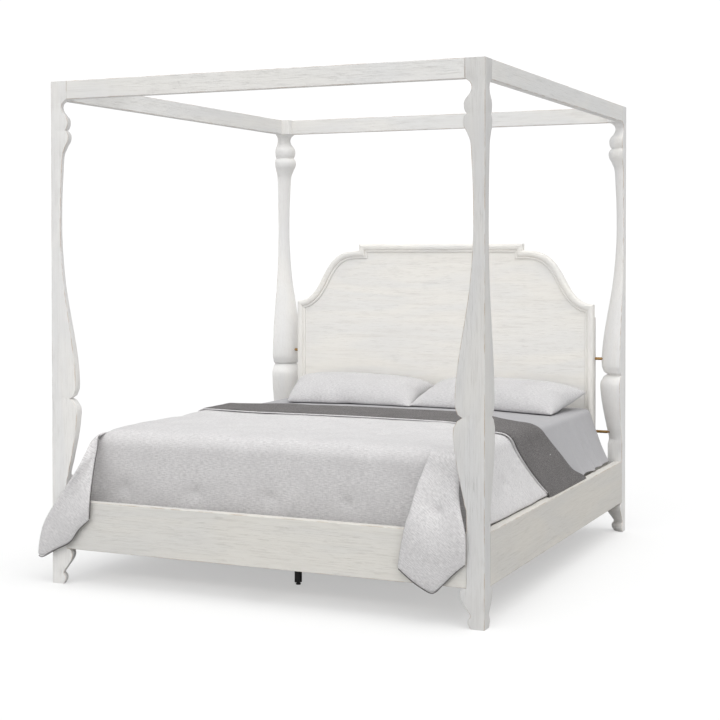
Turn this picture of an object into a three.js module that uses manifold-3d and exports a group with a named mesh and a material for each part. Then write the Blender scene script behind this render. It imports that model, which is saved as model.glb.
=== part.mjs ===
// Four poster canopy bed: profile-cut posts, a rail canopy, an ogee-topped headboard, rails, slats,
// a centre support with screw feet, and the bedding. Millimetres, +Z up. The origin is on the floor
// under the middle of the frame, +Y points to the head end and +X to the right seen from the foot.
import * as THREE from "three";
import { mergeVertices } from "three/addons/utils/BufferGeometryUtils.js";
import Module from "manifold-3d";

const wasm = await Module();
wasm.setup();

// ---- driving dimensions ---------------------------------------------------------------------
const INCH = 25.4;
const BED_WIDTH = 85 * INCH;
const BED_LENGTH = 98 * INCH;
const BED_HEIGHT = 94 * INCH;
const HALF_W = BED_WIDTH / 2;
const HALF_L = BED_LENGTH / 2;
const GAP = 0.3; // clearance left between pieces that touch
const HOLE_CLEARANCE = 0.4; // a hole's extra radius over its screw or pin

const BLOCK = 90; // side of a post's square block under the canopy
const LOW_BLOCK = 81; // side of its square block at the rails
const CANOPY_H = 86;
const CANOPY_T = 42;
const CANOPY_BOTTOM = BED_HEIGHT - CANOPY_H;
const RAIL_H = 230;
const RAIL_T = 45;
const RAIL_BOTTOM = 170;
const RAIL_TOP = RAIL_BOTTOM + RAIL_H;

const SLAT_T = 19;
const SLAT_W = 90;
const SLAT_COUNT = 6;
const SLAT_PITCH = 400;
const LEDGER = 25; // side of the square cleat that carries the slats
const LEDGER_BOTTOM = RAIL_BOTTOM + 5;
const SLAT_BOTTOM = LEDGER_BOTTOM + LEDGER + GAP;
const CENTRE_RAIL = { width: 50, height: 26 };

const MATTRESS_W = 72 * INCH;
const MATTRESS_L = 84 * INCH;
const MATTRESS_TOP = 690;
const MATTRESS_HEAD_Y = 1108;
const FOUNDATION_H = 210;

const HEADBOARD_HALF = 921;
const HEADBOARD_TOP = 1622;
const HEADBOARD_FRONT = 1128; // Y of the moulding's face
const MOULDING_W = 50;
const MOULDING_PROUD = 20;
const PANEL_T = 22;
const PANEL_BOTTOM = 300;
const STILE_T = 29;
const STILE_W = 92;
const STILE_TOP = 1205;

// ---- finishes -------------------------------------------------------------------------------
const finish = (color, roughness, metalness = 0) => {
  return new THREE.MeshStandardMaterial({ color, roughness, metalness });
};
const whitewash = finish(0xdedcd6, 0.6);
const bareWood = finish(0xcdb894, 0.75);
const blackSteel = finish(0x15151a, 0.45, 0.6);
const bronze = finish(0x7a5a32, 0.4, 0.9);
const zinc = finish(0xb9bcc0, 0.35, 0.9);
const ticking = finish(0xe8e6e0, 0.9);
const heather = finish(0xcfcfd2, 0.9);
const charcoal = finish(0x5a5a5e, 0.85);
const sheeting = finish(0xb4b3b7, 0.8);

const bed = new THREE.Group();

function addPiece(name, geometry, material) {
  const mesh = new THREE.Mesh(geometry, material);
  mesh.name = name;
  bed.add(mesh);
}

// ---- solids ---------------------------------------------------------------------------------
function toSolid(geometry) {
  const bare = geometry.clone();
  bare.deleteAttribute("normal");
  bare.deleteAttribute("uv");
  const merged = mergeVertices(bare, 1e-4);
  const mesh = new wasm.Mesh({
    numProp: 3,
    vertProperties: new Float32Array(merged.attributes.position.array),
    triVerts: new Uint32Array(merged.index.array),
  });
  return new wasm.Manifold(mesh);
}

function fromSolid(solid) {
  const mesh = solid.getMesh();
  const geometry = new THREE.BufferGeometry();
  geometry.setAttribute("position", new THREE.BufferAttribute(mesh.vertProperties, 3));
  geometry.setIndex(new THREE.BufferAttribute(mesh.triVerts, 1));
  return geometry;
}

function cut(geometry, tools) {
  let solid = toSolid(geometry);
  for (const tool of tools) solid = solid.subtract(toSolid(tool));
  return fromSolid(solid);
}

function join(...geometries) {
  const solids = geometries.map(toSolid);
  return fromSolid(solids.reduce((all, solid) => all.add(solid)));
}

// A box between two corners.
function box([x0, y0, z0], [x1, y1, z1]) {
  const geometry = new THREE.BoxGeometry(Math.abs(x1 - x0), Math.abs(y1 - y0), Math.abs(z1 - z0));
  return geometry.translate((x0 + x1) / 2, (y0 + y1) / 2, (z0 + z1) / 2);
}

// A turned piece. Its profile is a list of [radius, height] that starts and ends on the axis, and
// direction is the way its heights run.
function turned(profile, position, direction, sides = 16) {
  const points = profile.map(([radius, height]) => new THREE.Vector2(radius, height));
  const geometry = new THREE.LatheGeometry(points, sides);
  const up = new THREE.Vector3(0, 1, 0);
  const turn = new THREE.Quaternion().setFromUnitVectors(up, new THREE.Vector3(...direction));
  return geometry.applyQuaternion(turn).translate(...position);
}

function rod(radius, length, position, direction, sides = 16) {
  return turned([[0, 0], [radius, 0], [radius, length], [0, length]], position, direction, sides);
}

// Skins a stack of closed rings, each a list of Vector3 with the same count, and closes both ends.
function loft(rings) {
  const count = rings[0].length;
  const positions = rings.flat().flatMap((point) => [point.x, point.y, point.z]);
  const index = [];
  for (let r = 0; r + 1 < rings.length; r += 1) {
    for (let i = 0; i < count; i += 1) {
      const a = r * count + i;
      const b = r * count + ((i + 1) % count);
      index.push(a, b, b + count, a, b + count, a + count);
    }
  }
  const last = (rings.length - 1) * count;
  for (let i = 1; i + 1 < count; i += 1) {
    index.push(0, i + 1, i);
    index.push(last, last + i, last + i + 1);
  }
  const geometry = new THREE.BufferGeometry();
  geometry.setAttribute("position", new THREE.Float32BufferAttribute(positions, 3));
  geometry.setIndex(index);
  return facingOut(geometry);
}

// Turns every triangle over if the closed surface encloses a negative volume.
function facingOut(geometry) {
  const index = geometry.index.array;
  const corner = (i) => new THREE.Vector3().fromBufferAttribute(geometry.attributes.position, index[i]);
  let volume = 0;
  for (let i = 0; i < index.length; i += 3) {
    volume += corner(i).dot(corner(i + 1).cross(corner(i + 2)));
  }
  if (volume < 0) {
    for (let i = 0; i < index.length; i += 3) {
      const kept = index[i];
      index[i] = index[i + 2];
      index[i + 2] = kept;
    }
  }
  return geometry;
}

// An outline in X and Z, thickened along Y from yFront to yBack.
function board(outline, yFront, yBack) {
  const shape = new THREE.Shape(outline.map(([x, z]) => new THREE.Vector2(x, z)));
  const geometry = new THREE.ExtrudeGeometry(shape, { depth: yBack - yFront, bevelEnabled: false });
  return geometry.rotateX(Math.PI / 2).translate(0, yBack, 0);
}

// ---- posts ----------------------------------------------------------------------------------
// Profiles of a post as [height, width]. The two outer faces stay straight, and the inner side is
// rounded, or square where rails join it. Notches part the runs, so each run is one spline.
const POST_RUNS = [
  {
    steps: 11,
    points: [
      [0, 60], [10, 68], [28, 75], [46, 66], [62, 65], [96, 90], [118, 105], [140, 112],
      [158, 107], [169, 97],
    ],
  },
  { steps: 1, square: true, points: [[RAIL_BOTTOM, LOW_BLOCK], [RAIL_TOP + 95, LOW_BLOCK]] },
  { steps: 7, points: [[520, 90], [590, 105], [690, 125], [795, 139], [840, 138], [870, 122]] },
  { steps: 1, points: [[884, 100], [884, 100]] },
  {
    steps: 17,
    points: [
      [897, 120], [925, 131], [975, 132], [1075, 124], [1190, 107], [1300, 88], [1410, 71],
      [1520, 60], [1640, 53], [1740, 52], [1855, 54], [1950, 59], [2045, 67], [2083, 83],
      [2105, 95], [2120, 98], [2136, 97], [2148, 90],
    ],
  },
  { steps: 1, points: [[2155, 80], [2155, 80]] },
  {
    steps: 8,
    points: [
      [2164, 88], [2178, 93], [2198, 94], [2216, 88], [2240, 68], [2264, 60], [2284, 66],
      [2298, 82],
    ],
  },
  { steps: 1, square: true, points: [[CANOPY_BOTTOM, BLOCK], [BED_HEIGHT, BLOCK]] },
];

function postSections() {
  const sections = [];
  for (const { steps, square = false, points } of POST_RUNS) {
    const curve = new THREE.SplineCurve(points.map(([z, w]) => new THREE.Vector2(z, w)));
    for (let i = 0; i <= steps; i += 1) {
      const at = curve.getPoint(i / steps);
      if (i === 0 || at.x > sections.at(-1).height + 1) {
        sections.push({ height: at.x, width: at.y, square });
      }
    }
  }
  return sections;
}

// One section of a post, as distances inward from the two outer faces: a square with eased
// corners, or a quarter round about the outer corner. Both have the same count of points.
const QUARTER_STEPS = 10;
function postRing({ width, square }) {
  const ring = [[1.5, 0]];
  const arc = (cx, cy, radius, from, to, steps) => {
    for (let i = 0; i <= steps; i += 1) {
      const angle = THREE.MathUtils.degToRad(from + ((to - from) * i) / steps);
      ring.push([cx + radius * Math.cos(angle), cy + radius * Math.sin(angle)]);
    }
  };
  if (square) {
    const ease = 2;
    const inner = 5;
    arc(width - ease, ease, ease, -90, 0, 2);
    arc(width - inner, width - inner, inner, 0, 90, 4);
    arc(ease, width - ease, ease, 90, 180, 2);
  } else {
    arc(0, 0, width, 0, 90, QUARTER_STEPS);
  }
  ring.push([0, 1.5]);
  return ring;
}

// A post's width at a height.
function postWidth(height) {
  const sections = postSections();
  const i = sections.findIndex((section) => section.height >= height);
  const [below, above] = [sections[i - 1], sections[i]];
  return THREE.MathUtils.mapLinear(height, below.height, above.height, below.width, above.width);
}

// sx and sy are the signs of the corner that the post stands at.
function postBody(sx, sy) {
  const rings = postSections().map((section) => {
    return postRing(section).map(([u, v]) => {
      return new THREE.Vector3(sx * (HALF_W - u), sy * (HALF_L - v), section.height);
    });
  });
  return loft(rings);
}

// ---- rails with tenons ----------------------------------------------------------------------
// A rail along one axis between two posts, with a stub tenon at each end. across is the signed
// outer face, thickness goes inward from it.
const TENON = { length: 28, inset: 13, thickness: 16 };
const TENON_EASE = 0.5; // how much bigger the mortise is on every side

function railSolid({ axis, across, thickness, bottom, top, shoulder, block }) {
  const half = axis === "x" ? HALF_W : HALF_L;
  const sign = Math.sign(across);
  const end = half - block - GAP;
  const tip = end + TENON.length;
  const at = (along, side, z) => (axis === "x" ? [along, side, z] : [side, along, z]);
  const inner = across - sign * thickness;
  const body = box(at(-end, across, bottom), at(end, inner, top));
  const near = across - sign * TENON.inset;
  const deep = near - sign * TENON.thickness;
  const low = bottom + shoulder;
  const high = top - shoulder;
  const tenon = box(at(-tip, near, low), at(tip, deep, high));
  // The mortises, a little bigger than the tenon, are cut from the posts.
  const ease = TENON_EASE;
  const mortise = [-1, 1].map((way) => {
    const mouth = way * (end - 1);
    const bottomOfHole = way * (tip + ease);
    return box(
      at(mouth, near + sign * ease, low - ease),
      at(bottomOfHole, deep - sign * ease, high + ease),
    );
  });
  return { body: join(body, tenon), mortises: { minus: mortise[0], plus: mortise[1] } };
}

const canopyRail = (axis, across) => {
  const heights = { bottom: CANOPY_BOTTOM, top: BED_HEIGHT, shoulder: 20 };
  return railSolid({ axis, across, thickness: CANOPY_T, block: BLOCK, ...heights });
};
const endRail = (across) => {
  const heights = { bottom: RAIL_BOTTOM, top: RAIL_TOP, shoulder: 35 };
  return railSolid({ axis: "x", across, thickness: RAIL_T, block: LOW_BLOCK, ...heights });
};

const canopy = {
  foot: canopyRail("x", -HALF_L),
  head: canopyRail("x", HALF_L),
  left: canopyRail("y", -HALF_W),
  right: canopyRail("y", HALF_W),
};
const footboard = endRail(-HALF_L);
const headRail = endRail(HALF_L);

// ---- fasteners ------------------------------------------------------------------------------
const SCREW = { radius: 2.5, head: 5.5, headDepth: 5, length: 68, sink: 3 };
const SCREW_Z = BED_HEIGHT - 50;
const SCREW_INSET = 74; // from the outer side face
const HOLE_RUN_OUT = 20; // a hole is cut open past its face by this share of its extra radius

// The screw that locks a tenon of the foot or head canopy rail, driven from the block's inner face.
function tenonScrew(sx, sy, extra = 0) {
  const face = sy * (HALF_L - BLOCK + SCREW.sink);
  const { radius, head, headDepth, length } = SCREW;
  const profile = [
    [0, -extra * HOLE_RUN_OUT],
    [head + extra, -extra * HOLE_RUN_OUT],
    [head + extra, headDepth + extra],
    [radius + extra, headDepth + extra],
    [radius + extra, length + extra],
    [0, length + extra],
  ];
  return turned(profile, [sx * (HALF_W - SCREW_INSET), face, SCREW_Z], [0, sy, 0], 12);
}

const BOLT = { radius: 4, collar: 8, reach: 42 };
const BOLT_HEIGHTS = { upper: 972, lower: 560 };
const BOLT_Y = HEADBOARD_FRONT + MOULDING_PROUD + PANEL_T + GAP + STILE_T / 2;
const COLLAR_START = HEADBOARD_HALF + GAP;

// A collar ends where it meets the post's rounded inner face.
function collarEnd(level) {
  const height = BOLT_HEIGHTS[level];
  const widths = [height - BOLT.collar, height + BOLT.collar].map(postWidth);
  const inward = HALF_L - BOLT_Y - BOLT.collar;
  return HALF_W - Math.sqrt(Math.max(...widths) ** 2 - inward ** 2) - GAP;
}

// A headboard bolt: its collar fills the gap between a back stile and the post.
function headboardBolt(sx, level) {
  const { radius, collar, reach } = BOLT;
  const gap = collarEnd(level) - COLLAR_START;
  const profile = [
    [0, 0],
    [radius, 0],
    [radius, reach],
    [collar, reach],
    [collar, reach + gap],
    [radius, reach + gap],
    [radius, 2 * reach + gap],
    [0, 2 * reach + gap],
  ];
  return turned(profile, boltStart(sx, level), [sx, 0, 0], 12);
}
const boltStart = (sx, level) => [sx * (COLLAR_START - BOLT.reach), BOLT_Y, BOLT_HEIGHTS[level]];

// The hole that the bolt's shank runs in, through the stile's edge and into the post.
function boltHole(sx, level) {
  const length = 2 * BOLT.reach + collarEnd(level) - COLLAR_START + HOLE_CLEARANCE;
  return rod(BOLT.radius + HOLE_CLEARANCE, length, boltStart(sx, level), [sx, 0, 0], 12);
}

// ---- the posts, with their mortises and holes -------------------------------------------------
const CORNERS = [
  { name: "foot_left", sx: -1, sy: -1 },
  { name: "foot_right", sx: 1, sy: -1 },
  { name: "head_left", sx: -1, sy: 1 },
  { name: "head_right", sx: 1, sy: 1 },
];
const sideKey = (sx) => (sx < 0 ? "left" : "right");
const endOf = (sign) => (sign < 0 ? "minus" : "plus");

for (const { name, sx, sy } of CORNERS) {
  const crossRails = sy < 0 ? [canopy.foot, footboard] : [canopy.head, headRail];
  const tools = crossRails.map((rail) => rail.mortises[endOf(sx)]);
  tools.push(canopy[sideKey(sx)].mortises[endOf(sy)]);
  tools.push(tenonScrew(sx, sy, HOLE_CLEARANCE));
  if (sy > 0) {
    for (const level of Object.keys(BOLT_HEIGHTS)) {
      tools.push(boltHole(sx, level));
    }
  }
  addPiece(`post_${name}`, cut(postBody(sx, sy), tools), whitewash);
  addPiece(`canopy_screw_${name}`, tenonScrew(sx, sy), zinc);
}

// ---- canopy and rails -------------------------------------------------------------------------
for (const [end, sy] of [["foot", -1], ["head", 1]]) {
  const holes = [-1, 1].map((sx) => tenonScrew(sx, sy, HOLE_CLEARANCE));
  addPiece(`canopy_rail_${end}`, cut(canopy[end].body, holes), whitewash);
}
addPiece("canopy_rail_left", canopy.left.body, whitewash);
addPiece("canopy_rail_right", canopy.right.body, whitewash);
addPiece("footboard_rail", footboard.body, whitewash);
addPiece("head_rail", headRail.body, whitewash);

const SIDE_END = HALF_L - LOW_BLOCK - GAP;
for (const sx of [-1, 1]) {
  const side = sideKey(sx);
  const outer = sx * HALF_W;
  const inner = sx * (HALF_W - RAIL_T);
  const rail = box([outer, -SIDE_END, RAIL_BOTTOM], [inner, SIDE_END, RAIL_TOP]);
  addPiece(`side_rail_${side}`, rail, whitewash);
  const ledgerEnd = SIDE_END - 60;
  const from = [inner - sx * GAP, -ledgerEnd, LEDGER_BOTTOM];
  const to = [inner - sx * (GAP + LEDGER), ledgerEnd, LEDGER_BOTTOM + LEDGER];
  addPiece(`ledger_${side}`, box(from, to), bareWood);
}

// Steel angles that bolt the side rails to the posts, with two hex heads on each leg.
const ANGLE = { leg: 34, thickness: 4, low: 225, high: 375, bolt: 7, boltHead: 5 };
function railAngle(sx, sy) {
  const x = HALF_W - RAIL_T - GAP;
  const y = SIDE_END;
  const { leg, thickness, low, high, bolt, boltHead } = ANGLE;
  const onRail = box([sx * x, sy * y, low], [sx * (x - thickness), sy * (y - leg), high]);
  const onPost = box([sx * x, sy * y, low], [sx * (x - leg), sy * (y - thickness), high]);
  const heads = [];
  for (const z of [low + 35, high - 35]) {
    const railHead = [sx * (x - thickness + 1), sy * (y - leg + 12), z];
    heads.push(rod(bolt, boltHead + 1, railHead, [-sx, 0, 0], 6));
    const postHead = [sx * (x - leg + 12), sy * (y - thickness + 1), z];
    heads.push(rod(bolt, boltHead + 1, postHead, [0, -sy, 0], 6));
  }
  return join(onRail, onPost, ...heads);
}
for (const { name, sx, sy } of CORNERS) {
  addPiece(`rail_angle_${name}`, railAngle(sx, sy), zinc);
}

// ---- slats and centre support -------------------------------------------------------------------
for (let i = 0; i < SLAT_COUNT; i += 1) {
  const y = (i - (SLAT_COUNT - 1) / 2) * SLAT_PITCH;
  const halfSpan = HALF_W - RAIL_T - 3;
  const slat = box(
    [-halfSpan, y - SLAT_W / 2, SLAT_BOTTOM],
    [halfSpan, y + SLAT_W / 2, SLAT_BOTTOM + SLAT_T],
  );
  addPiece(`slat_${i + 1}`, slat, bareWood);
}

const CENTRE_TOP = SLAT_BOTTOM - GAP;
const CENTRE_BOTTOM = CENTRE_TOP - CENTRE_RAIL.height;
const CENTRE_END = HALF_L - RAIL_T - 4;
addPiece(
  "centre_rail",
  box(
    [-CENTRE_RAIL.width / 2, -CENTRE_END, CENTRE_BOTTOM],
    [CENTRE_RAIL.width / 2, CENTRE_END, CENTRE_TOP],
  ),
  bareWood,
);

// A steel stirrup at each end of the centre rail, screwed to the cross rail's inner face.
function stirrup(sy) {
  const plate = 3;
  const half = CENTRE_RAIL.width / 2 + GAP;
  const face = sy * (HALF_L - RAIL_T - GAP);
  const reach = sy * (HALF_L - RAIL_T - 55);
  const low = CENTRE_BOTTOM - GAP;
  const back = box([-half - 22, face, RAIL_BOTTOM + 4], [half + 22, face - sy * plate, CENTRE_TOP - 2]);
  const floor = box([-half - plate, face, low - plate], [half + plate, reach, low]);
  const cheeks = [-1, 1].map((sx) => {
    return box([sx * half, face, low - plate], [sx * (half + plate), reach, CENTRE_TOP - 2]);
  });
  return join(back, floor, ...cheeks);
}
addPiece("centre_stirrup_foot", stirrup(-1), blackSteel);
addPiece("centre_stirrup_head", stirrup(1), blackSteel);

// Square steel legs under the centre rail. Each has a foot on a stem that screws up into it.
const LEG = { side: 27, bottom: 11, plate: 60, plateT: 4, pitch: 784 };
const FOOT = { pad: 12, padT: 7, stem: 5, top: 62, lift: 3, clear: 0.4 };
// A round pad on a threaded stem, wound up until it is just clear of the floor.
function screwFoot(y) {
  const { pad, padT, stem, top, clear } = FOOT;
  const profile = [
    [0, 0],
    [pad - 1.5, 0],
    [pad, 1.5],
    [pad, padT - 2],
    [pad - 3, padT],
    [stem, padT],
    [stem, top],
    [0, top],
  ];
  return turned(profile, [0, y, clear], [0, 0, 1], 20);
}

for (const [i, place] of [-1, 0, 1].entries()) {
  const y = place * LEG.pitch;
  const top = CENTRE_BOTTOM - GAP;
  const half = LEG.side / 2;
  const bar = box([-half, y - half, LEG.bottom], [half, y + half, top - LEG.plateT / 2]);
  const plateHalf = LEG.plate / 2;
  const plate = box(
    [-plateHalf, y - plateHalf, top - LEG.plateT],
    [plateHalf, y + plateHalf, top],
  );
  const boreTop = FOOT.top + FOOT.lift + 4;
  const boreStart = [0, y, LEG.bottom - 1];
  const bore = rod(FOOT.stem + HOLE_CLEARANCE, boreTop - LEG.bottom, boreStart, [0, 0, 1]);
  addPiece(`support_leg_${i + 1}`, cut(join(bar, plate), [bore]), blackSteel);
  addPiece(`screw_foot_${i + 1}`, screwFoot(y), blackSteel);
}

// ---- headboard ----------------------------------------------------------------------------------
// The right half of the outline, inset by a distance: flat top, a square step down, an ogee
// shoulder, a short flat and the side.
const STEP_X = 510;
const STEP_Z = HEADBOARD_TOP - 38;
const SHOULDER_Z = 1277;
const OGEE_MIDDLE = new THREE.Vector2(757, 1412);
const OGEE_SLOPE = new THREE.Vector2(0.47, -0.88);
const OGEE_PULLS = { start: 147, before: 123, after: 73, end: 90 };

function ogeePoints(steps) {
  const start = new THREE.Vector2(STEP_X, STEP_Z);
  const end = new THREE.Vector2(HEADBOARD_HALF, SHOULDER_Z);
  const along = (point, distance) => point.clone().addScaledVector(OGEE_SLOPE, distance);
  const level = (point, distance) => new THREE.Vector2(point.x + distance, point.y);
  const crown = new THREE.CubicBezierCurve(
    start,
    level(start, OGEE_PULLS.start),
    along(OGEE_MIDDLE, -OGEE_PULLS.before),
    OGEE_MIDDLE,
  );
  const hollow = new THREE.CubicBezierCurve(
    OGEE_MIDDLE,
    along(OGEE_MIDDLE, OGEE_PULLS.after),
    level(end, -OGEE_PULLS.end),
    end,
  );
  const inset = (curve, t, distance) => {
    const tangent = curve.getTangent(t);
    const point = curve.getPoint(t);
    return [point.x + tangent.y * distance, point.y - tangent.x * distance];
  };
  return (distance) => {
    const points = [];
    for (const curve of [crown, hollow]) {
      for (let i = curve === crown ? 0 : 1; i <= steps; i += 1) {
        points.push(inset(curve, i / steps, distance));
      }
    }
    return points;
  };
}
const ogee = ogeePoints(7);
const mirrored = (points) => points.map(([x, z]) => [-x, z]).reverse();

// The panel stops short of the outline by reveal, so that the mouldings cover its edge.
function panelOutline(reveal, bottom) {
  const shoulder = ogee(reveal);
  shoulder[0][0] = STEP_X - reveal;
  shoulder.at(-1)[0] = HEADBOARD_HALF - reveal;
  const right = [
    [STEP_X - reveal, HEADBOARD_TOP - reveal],
    ...shoulder,
    [HEADBOARD_HALF - reveal, bottom],
  ];
  return [...mirrored(right), ...right];
}

const PANEL_FRONT = HEADBOARD_FRONT + MOULDING_PROUD;
addPiece(
  "headboard_panel",
  board(panelOutline(0, PANEL_BOTTOM), PANEL_FRONT, PANEL_FRONT + PANEL_T),
  whitewash,
);

// Half-round mouldings on the panel's face. A run is a list of stations, each with its outer and
// inner point in X and Z, so that the first and last stations are its mitres.
const MOULDING_SECTION = [[0, 0], [0.01, 0.55], [0.16, 0.9], [0.5, 1], [0.84, 0.9], [0.99, 0.55], [1, 0]];

function moulding(run) {
  const back = HEADBOARD_FRONT + MOULDING_PROUD - GAP;
  const proud = MOULDING_PROUD - GAP;
  const rings = run.map(([outer, inner]) => {
    return MOULDING_SECTION.map(([share, height]) => {
      const x = THREE.MathUtils.lerp(outer[0], inner[0], share);
      const z = THREE.MathUtils.lerp(outer[1], inner[1], share);
      return new THREE.Vector3(x, back - proud * height, z);
    });
  });
  return loft(rings);
}

// A station on a square corner of the outline, moved by a hairline along X and Z.
const mitre = (x, z, dx = 0, dz = 0) => {
  return [[x + dx, z + dz], [x - MOULDING_W + dx, z - MOULDING_W + dz]];
};
const flipRun = (run) => run.map((station) => station.map(([x, z]) => [-x, z]));

const topEnd = mitre(STEP_X, HEADBOARD_TOP, -GAP, 0);
addPiece("moulding_top", moulding([flipRun([topEnd])[0], topEnd]), whitewash);

const ogeeOuter = ogee(0);
const ogeeInner = ogee(MOULDING_W);
const shoulderRun = [
  mitre(STEP_X, HEADBOARD_TOP, 0, -GAP),
  mitre(STEP_X, STEP_Z),
  ...ogeeOuter.slice(1, -1).map((outer, i) => [outer, ogeeInner[i + 1]]),
  mitre(HEADBOARD_HALF, SHOULDER_Z, -GAP, 0),
];
const sideRun = [
  mitre(HEADBOARD_HALF, SHOULDER_Z, 0, -GAP),
  [[HEADBOARD_HALF, PANEL_BOTTOM + 120], [HEADBOARD_HALF - MOULDING_W, PANEL_BOTTOM + 120]],
];
for (const [side, placed] of [["right", (run) => run], ["left", flipRun]]) {
  addPiece(`moulding_shoulder_${side}`, moulding(placed(shoulderRun)), whitewash);
  addPiece(`moulding_side_${side}`, moulding(placed(sideRun)), whitewash);
}

// Stiles and battens on the back of the panel. The stiles are bolted to the head posts.
const BACK_FRONT = PANEL_FRONT + PANEL_T + GAP;
const BACK_REAR = BACK_FRONT + STILE_T - GAP;
for (const sx of [-1, 1]) {
  const outer = sx * HEADBOARD_HALF;
  const stile = box(
    [outer, BACK_FRONT, RAIL_BOTTOM + 20],
    [outer - sx * STILE_W, BACK_REAR, STILE_TOP],
  );
  const holes = Object.keys(BOLT_HEIGHTS).map((level) => boltHole(sx, level));
  addPiece(`headboard_stile_${sideKey(sx)}`, cut(stile, holes), whitewash);
  for (const level of Object.keys(BOLT_HEIGHTS)) {
    addPiece(`headboard_bolt_${level}_${sideKey(sx)}`, headboardBolt(sx, level), bronze);
  }
}
const BATTENS = { lower: [430, 520], upper: [1110, STILE_TOP - 5] };
for (const [name, [low, high]] of Object.entries(BATTENS)) {
  const half = HEADBOARD_HALF - STILE_W - GAP;
  addPiece(
    `headboard_batten_${name}`,
    box([-half, BACK_FRONT, low], [half, BACK_REAR, high]),
    whitewash,
  );
}

// ---- foundation and mattress ----------------------------------------------------------------------
// A box with rounded upright corners and softened top and bottom edges.
function cushionBox(width, length, yHead, bottom, top, radius, soft) {
  const shape = new THREE.Shape();
  const [w, l] = [width / 2 - soft, length / 2 - soft];
  const r = radius - soft;
  shape.moveTo(-w + r, -l);
  shape.lineTo(w - r, -l);
  shape.absarc(w - r, -l + r, r, -Math.PI / 2, 0);
  shape.absarc(w - r, l - r, r, 0, Math.PI / 2);
  shape.absarc(-w + r, l - r, r, Math.PI / 2, Math.PI);
  shape.absarc(-w + r, -l + r, r, Math.PI, 1.5 * Math.PI);
  const geometry = new THREE.ExtrudeGeometry(shape, {
    depth: top - bottom - 2 * soft,
    bevelThickness: soft,
    bevelSize: soft,
    bevelSegments: 2,
    curveSegments: 4,
  });
  return geometry.translate(0, yHead - length / 2, bottom + soft);
}
const FOUNDATION_BOTTOM = SLAT_BOTTOM + SLAT_T + GAP;
const FOUNDATION_TOP = FOUNDATION_BOTTOM + FOUNDATION_H;
addPiece(
  "box_foundation",
  cushionBox(MATTRESS_W, MATTRESS_L, MATTRESS_HEAD_Y, FOUNDATION_BOTTOM, FOUNDATION_TOP, 45, 8),
  ticking,
);
addPiece(
  "mattress",
  cushionBox(MATTRESS_W, MATTRESS_L, MATTRESS_HEAD_Y, FOUNDATION_TOP + GAP, MATTRESS_TOP, 60, 24),
  ticking,
);

// ---- bed covers -------------------------------------------------------------------------------------
// Covers lie over the mattress and hang down both sides to the tops of the side rails. across(d)
// is the section of the surface at a distance d from the mattress, from the left hem to the right.
const HEM_X = 1012;
const HEM_Z = RAIL_TOP + 4;
const EDGE_R = 24;
const CROWN = 10;

function across(distance) {
  const side = MATTRESS_W / 2 + distance;
  const top = MATTRESS_TOP + distance;
  const radius = EDGE_R + distance;
  const right = [[HEM_X + distance, HEM_Z]];
  for (const t of [0.35, 0.7]) {
    const x = THREE.MathUtils.lerp(HEM_X + distance, side, Math.pow(t, 0.8));
    right.push([x, THREE.MathUtils.lerp(HEM_Z, top - radius, t)]);
  }
  for (let i = 0; i <= 3; i += 1) {
    const angle = (i / 3) * (Math.PI / 2);
    const x = side - radius + radius * Math.cos(angle);
    right.push([x, top - radius + radius * Math.sin(angle)]);
  }
  right.push([side / 2, top + 0.75 * CROWN], [0, top + CROWN]);
  return [...mirrored(right.slice(0, -1)).reverse(), ...right.reverse()];
}

// A cover between two depths, from yFoot to yHead, each of which may change across the bed.
function cover(inner, outer, yFoot, yHead) {
  const low = across(inner);
  const high = across(outer);
  const rings = low.map(([x, z], i) => {
    const [outerX, outerZ] = high[i];
    return [
      new THREE.Vector3(outerX, yFoot(outerX), outerZ),
      new THREE.Vector3(outerX, yHead(outerX), outerZ),
      new THREE.Vector3(x, yHead(outerX), z),
      new THREE.Vector3(x, yFoot(outerX), z),
    ];
  });
  return loft(rings);
}

const SHEET = [3, 7];
const COMFORTER = [8, 32];
const TURNBACK = [32.5, 45];
const COMFORTER_FOOT = -1098;
const FOLD_Y = 250; // where the comforter's head end is folded back over itself
const SHEET_FOOT = 150;

addPiece("flat_sheet", cover(...SHEET, () => SHEET_FOOT, () => MATTRESS_HEAD_Y - 12), sheeting);

// Down the sides, the fold runs towards the foot end and then back along the hem.
const foldLine = (middle, side) => (x) => {
  const t = THREE.MathUtils.smoothstep(Math.abs(x), 480, MATTRESS_W / 2);
  return THREE.MathUtils.lerp(middle, side, t);
};
const foldHead = foldLine(FOLD_Y, 110);
const foldFoot = foldLine(-160, -400);

// The foot end hangs straight down and is tucked behind the footboard.
const TUCK = { half: MATTRESS_W / 2 - 40, low: RAIL_BOTTOM + 130 };
function comforterEnd() {
  const { half, low } = TUCK;
  const tucked = [[half, HEM_Z], [half, low], [-half, low], [-half, HEM_Z]];
  const thickness = COMFORTER[1] - COMFORTER[0];
  return board([...across(COMFORTER[1]), ...tucked], COMFORTER_FOOT, COMFORTER_FOOT + thickness);
}
const comforterTop = cover(...COMFORTER, () => COMFORTER_FOOT + 1, foldHead);
addPiece("comforter", join(comforterTop, comforterEnd()), heather);
addPiece("comforter_turnback", cover(...TURNBACK, foldFoot, foldHead), charcoal);

// ---- pillow shams -------------------------------------------------------------------------------------
const SHAM = { halfW: 440, halfL: 215, halfT: 82, seam: 6, x: 452, y: 872, z: 818, tilt: 14 };

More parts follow.
